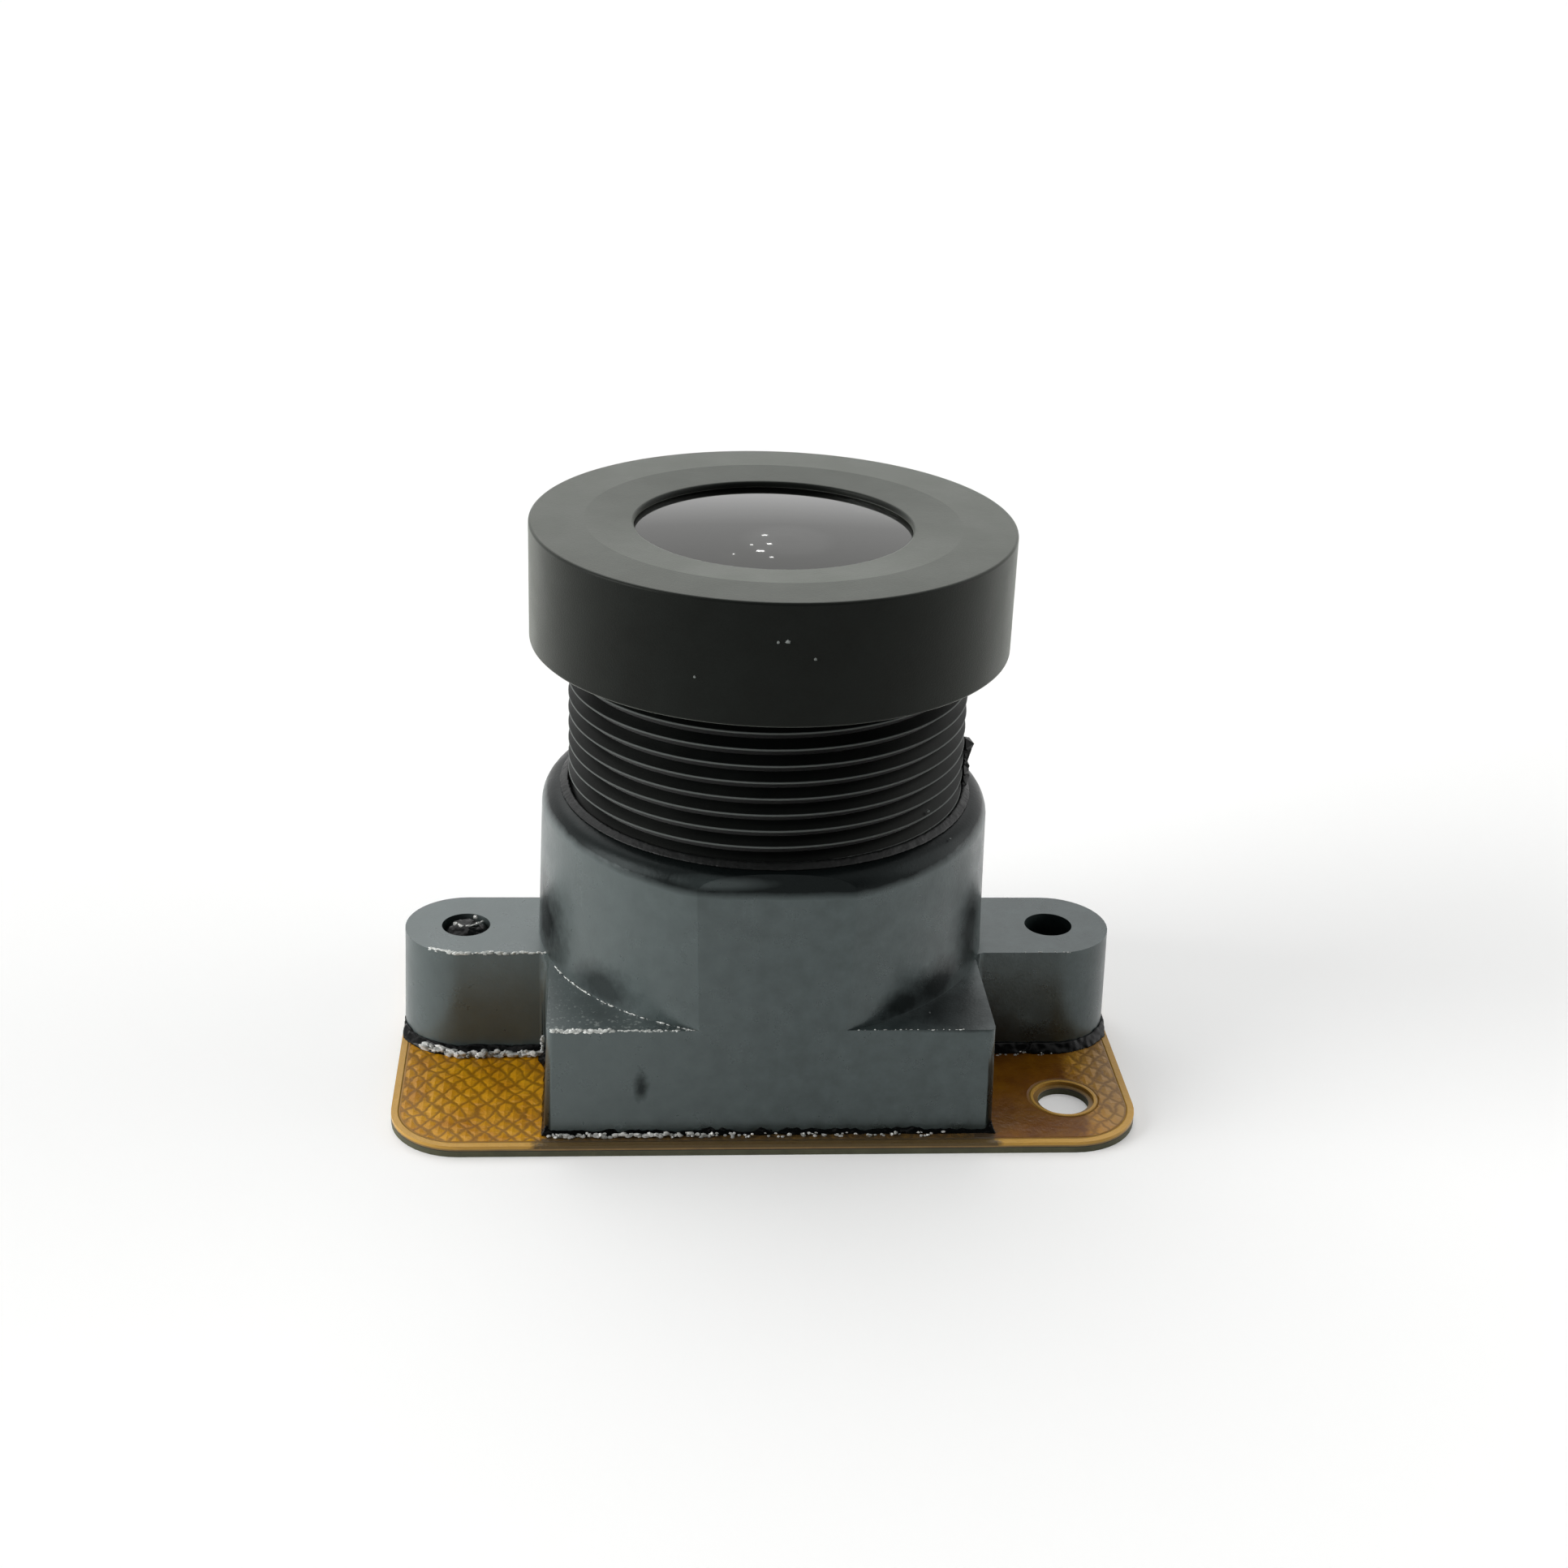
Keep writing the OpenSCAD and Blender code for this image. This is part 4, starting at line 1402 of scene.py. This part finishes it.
def main() -> None:
    """Builds the pieces in order, then sets up the studio."""
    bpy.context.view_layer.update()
    block_top = 3.79
    foot_level = 0.36
    LOG.info("loaded")

    # injection-moulded black nylon: dark blue-grey, half gloss, a fine even grain
    plastic = HolderFinish("moulded_black_nylon", Slot.HOLDER, "182020", "333c3c", 0.6, 0.1, 0.005, 0.31,
                           specular=0.95, gleam="e6f4f4", top_mm=block_top, front_mm=6.5)
    # black anodised aluminium: near black, satin, with a very fine blasted grain
    anodised = Finish("black_anodised_aluminium", Slot.BARREL, "070908", "0e1110", 1.2, 0.05, 0.004, 0.36,
                      specular=0.08, sheen=0.51, sheen_roughness=0.4, gleam="f8fcf2", bloom="f6fcf0")
    # the same coating on the thread: deep black, with a painted highlight on the crests
    highlit_thread = ThreadedFinish("anodised_thread_highlit_crests", Slot.BARREL, "050606", "0b0d0c", 1.2, 0.05,
                                 0.003, 0.4, specular=0.08, sheen=0.12, gleam="f8fcf2")
    # coated optical glass over a black inside: swallows nearly all that it doesn't mirror
    glass = CoatedGlass("coated_front_glass", Slot.LENS, "1b1d1b", "202220", 3.0, 2.0, 0.0002, 0.02, 0.01,
                        ior=1.52, transmission=1.0, coat=0.8, coat_roughness=0.05, gleam="fbfbf0")
    # coated glass of the inner elements: smoky, seen only through the front one
    inner_glass = Finish("coated_inner_glass", Slot.LENS, "5b605f", "6a706e", 3.0, 2.0, 0.0002, 0.03, 0.01,
                         ior=1.52, transmission=1.0)
    MouldedHolder().build(plastic)
    LensBarrel().build(anodised, highlit_thread)
    FrontGlass().build(glass)

    board = FlexBoard()
    film = board.film_finish()
    # glass-cloth laminate, cut: dull grey-green edge
    laminate = Finish("glass_cloth_laminate", Slot.STIFFENER, "43432f", "56563e", 0.8, 0.06, 0.006, 0.7)
    # acrylic adhesive sheet: dark line between the layers
    sheet = Finish("acrylic_adhesive_sheet", Slot.ADHESIVE, "1f1b13", "2c261b", 0.6, 0.05, 0.004, 0.6)
    # polyimide base film: amber, glossy
    base_film = Finish("polyimide_base_film", Slot.FILM, "7a5c2c", "94743c", 0.9, 0.06, 0.004, 0.35)
    # rolled copper: only its cut edge could show
    copper = Finish("rolled_copper_sheet", Slot.COPPER, "9a6233", "b57a45", 0.6, 0.05, 0.002, 0.35,
                    metallic=1.0)
    board.build({"cover_film": film, "stiffener_plate": laminate, "stiffener_adhesive": sheet,
                 "base_film": base_film, "copper_sheet": copper})

    # cured black epoxy: very dark and wet-looking, uneven
    epoxy = Finish("cured_black_epoxy", Slot.GLUE, "050606", "0c0d0d", 0.5, 0.12, 0.006, 0.18, specular=0.12)
    # cured thread-lock glue: dull black
    lock = Finish("cured_thread_lock", Slot.GLUE, "0a0b0b", "141615", 0.4, 0.08, 0.01, 0.4, specular=0.2)
    CuredGlue("foot_bead", "foot_bead_epoxy", swell=0.05, lump=0.5, slim=0.45).build(epoxy)
    CuredGlue("ear_plug", "ear_drop_epoxy", swell=0.04, lump=0.25).build(epoxy)
    CuredGlue("thread_lock_glue", "thread_lock_ring", voxel=0.035, swell=0.012, relax=1).build(lock)

    # the run of the same glue down the neck, at the right
    Bits("thread_lock_drip", 5, (
        Trail(((6.0, -0.45, 8.95), (6.0, -0.4, 10.25)), 26, 0.34, 0.56, 0.04, 1.3),), ragged=0.1).build(lock)

    # clear glue crumbs: pale; their pale colour also paints the glue's sparkle highlights
    crumbs = Finish("pale_glue_bits_and_highlights", Slot.GLUE, "6d706c", "f0f0ec", 0.25, 0.05, 0.01, 0.22)
    # frayed flash on the moulding's edges: whitened plastic
    burr = Finish("whitened_plastic_burr", Slot.HOLDER, "b4b8b3", "eef0ec", 0.3, 0.05, 0.006, 0.45)
    # dust: pale grey lint
    lint = Finish("pale_dust", Slot.HOLDER, "5b605e", "858a87", 0.3, 0.03, 0.004, 0.7)
    Bits("glue_bits_and_highlights", 11, (
        level((-6.6, -6.88, -1.0, -6.88), foot_level + 0.08, 110, 0.06, 0.14, 0.05, 2.0),
        level((-1.0, -6.88, 5.2, -6.88), foot_level + 0.06, 55, 0.04, 0.11, 0.05, 1.6),
        level((-6.8, -2.25, -9.3, -2.3, -10.5, -1.75), foot_level + 0.1, 150, 0.07, 0.2, 0.07, 2.4),
        Trail(((-6.78, -2.1, foot_level + 0.1), (-6.8, -2.1, foot_level + 0.6)), 12, 0.08, 0.18, 0.03, 1.5),
        # painted highlight: pale bits laid in the ear's hole as the drop's highlight and its reflected
        # crescent
        Trail(((-9.62, 0.05, 3.82), (-9.33, -0.2, 3.84), (-9.0, -0.2, 3.84), (-8.7, 0.1, 3.84)),
              34, 0.06, 0.12, 0.02, 2.2),
        level((-8.93, 0.3), 3.9, 2, 0.14, 0.16, 0.01, 1.0),
        level((7.4, -2.3, 9.2, -2.3), foot_level + 0.05, 14, 0.04, 0.08, 0.06, 1.5))).build(crumbs)
    Bits("edge_burrs", 7, (
        level((-6.4, -6.57, -4.6, -6.57), block_top, 100, 0.05, 0.12, 0.04, 2.0),
        level((-4.6, -6.57, -2.2, -6.57), block_top, 60, 0.03, 0.06, 0.02, 3.0),
        Trail(arc(6.95, block_top + 0.01, 250, 202, 10), 80, 0.025, 0.055, 0.015, 4.0),
        level((2.4, -6.57, 5.6, -6.57), block_top, 26, 0.02, 0.04, 0.015, 3.0),
        level((-6.7, -1.86, -9.4, -1.86, -10.2, -1.55), block_top, 120, 0.05, 0.11, 0.03, 3.0),
        level((8.1, -1.86, 9.7, -1.86), block_top, 10, 0.025, 0.05, 0.015, 2.5))).build(burr)
    Bits("dust_specks", 3, tuple(Trail((place,), 1, size, size, 0.0) for place, size in (
        ((-0.3, -7.14, 16.03), 0.1), ((-0.05, -7.15, 16.05), 0.14), ((-2.49, -6.7, 14.85), 0.09),
        ((0.71, -7.11, 15.55), 0.11), ((4.5, -3.95, 9.6), 0.1), ((5.2, -4.0, 8.75), 0.08),
        ((-0.9, -6.9, 17.09), 0.07), ((4.7, -5.6, 3.8), 0.07)))).build(lint)

    # plated ceramic package, sawn: pale grey
    package = Finish("sintered_ceramic_package", Slot.PACKAGE, "4a4a4d", "57575a", 0.6, 0.04, 0.002, 0.55)
    # polished silicon: dark blue-grey, mirror-like
    silicon = Finish("polished_silicon_chip", Slot.CHIP, "2d3242", "3c4358", 1.2, 0.02, 0.0005, 0.15,
                     metallic=0.6)
    # fired capacitor ceramic: tan, dull
    ceramic = Finish("fired_capacitor_ceramic", Slot.PART, "8f7350", "a48660", 0.3, 0.03, 0.002, 0.5)
    # blackened brass rings and stop foil: dull black
    blackened = Finish("blackened_metal_ring", Slot.STOP, "0b0b0c", "151516", 0.8, 0.05, 0.002, 0.55)
    # coated filter glass: clear with a faint tint
    filter_glass = Finish("coated_filter_glass", Slot.FILTER, "d9ebe6", "e6f3ef", 2.0, 1.0, 0.0002, 0.03,
                          0.01, ior=1.52, transmission=1.0)
    for nodes, finish in (
            ("sensor_package sensor_frame chip_resistors", package), ("sensor_chip", silicon),
            ("chip_capacitors", ceramic),
            ("spacer_ring stop_ring aperture_stop rear_spacer retaining_ring", blackened),
            ("second_element third_element fourth_element rear_element", inner_glass),
            ("infrared_filter sensor_cover_glass", filter_glass)):
        for node in nodes.split():
            dress_node(node, finish)
    Studio().build()
    LOG.info("studio set")


if __name__ == "__main__":
    main()
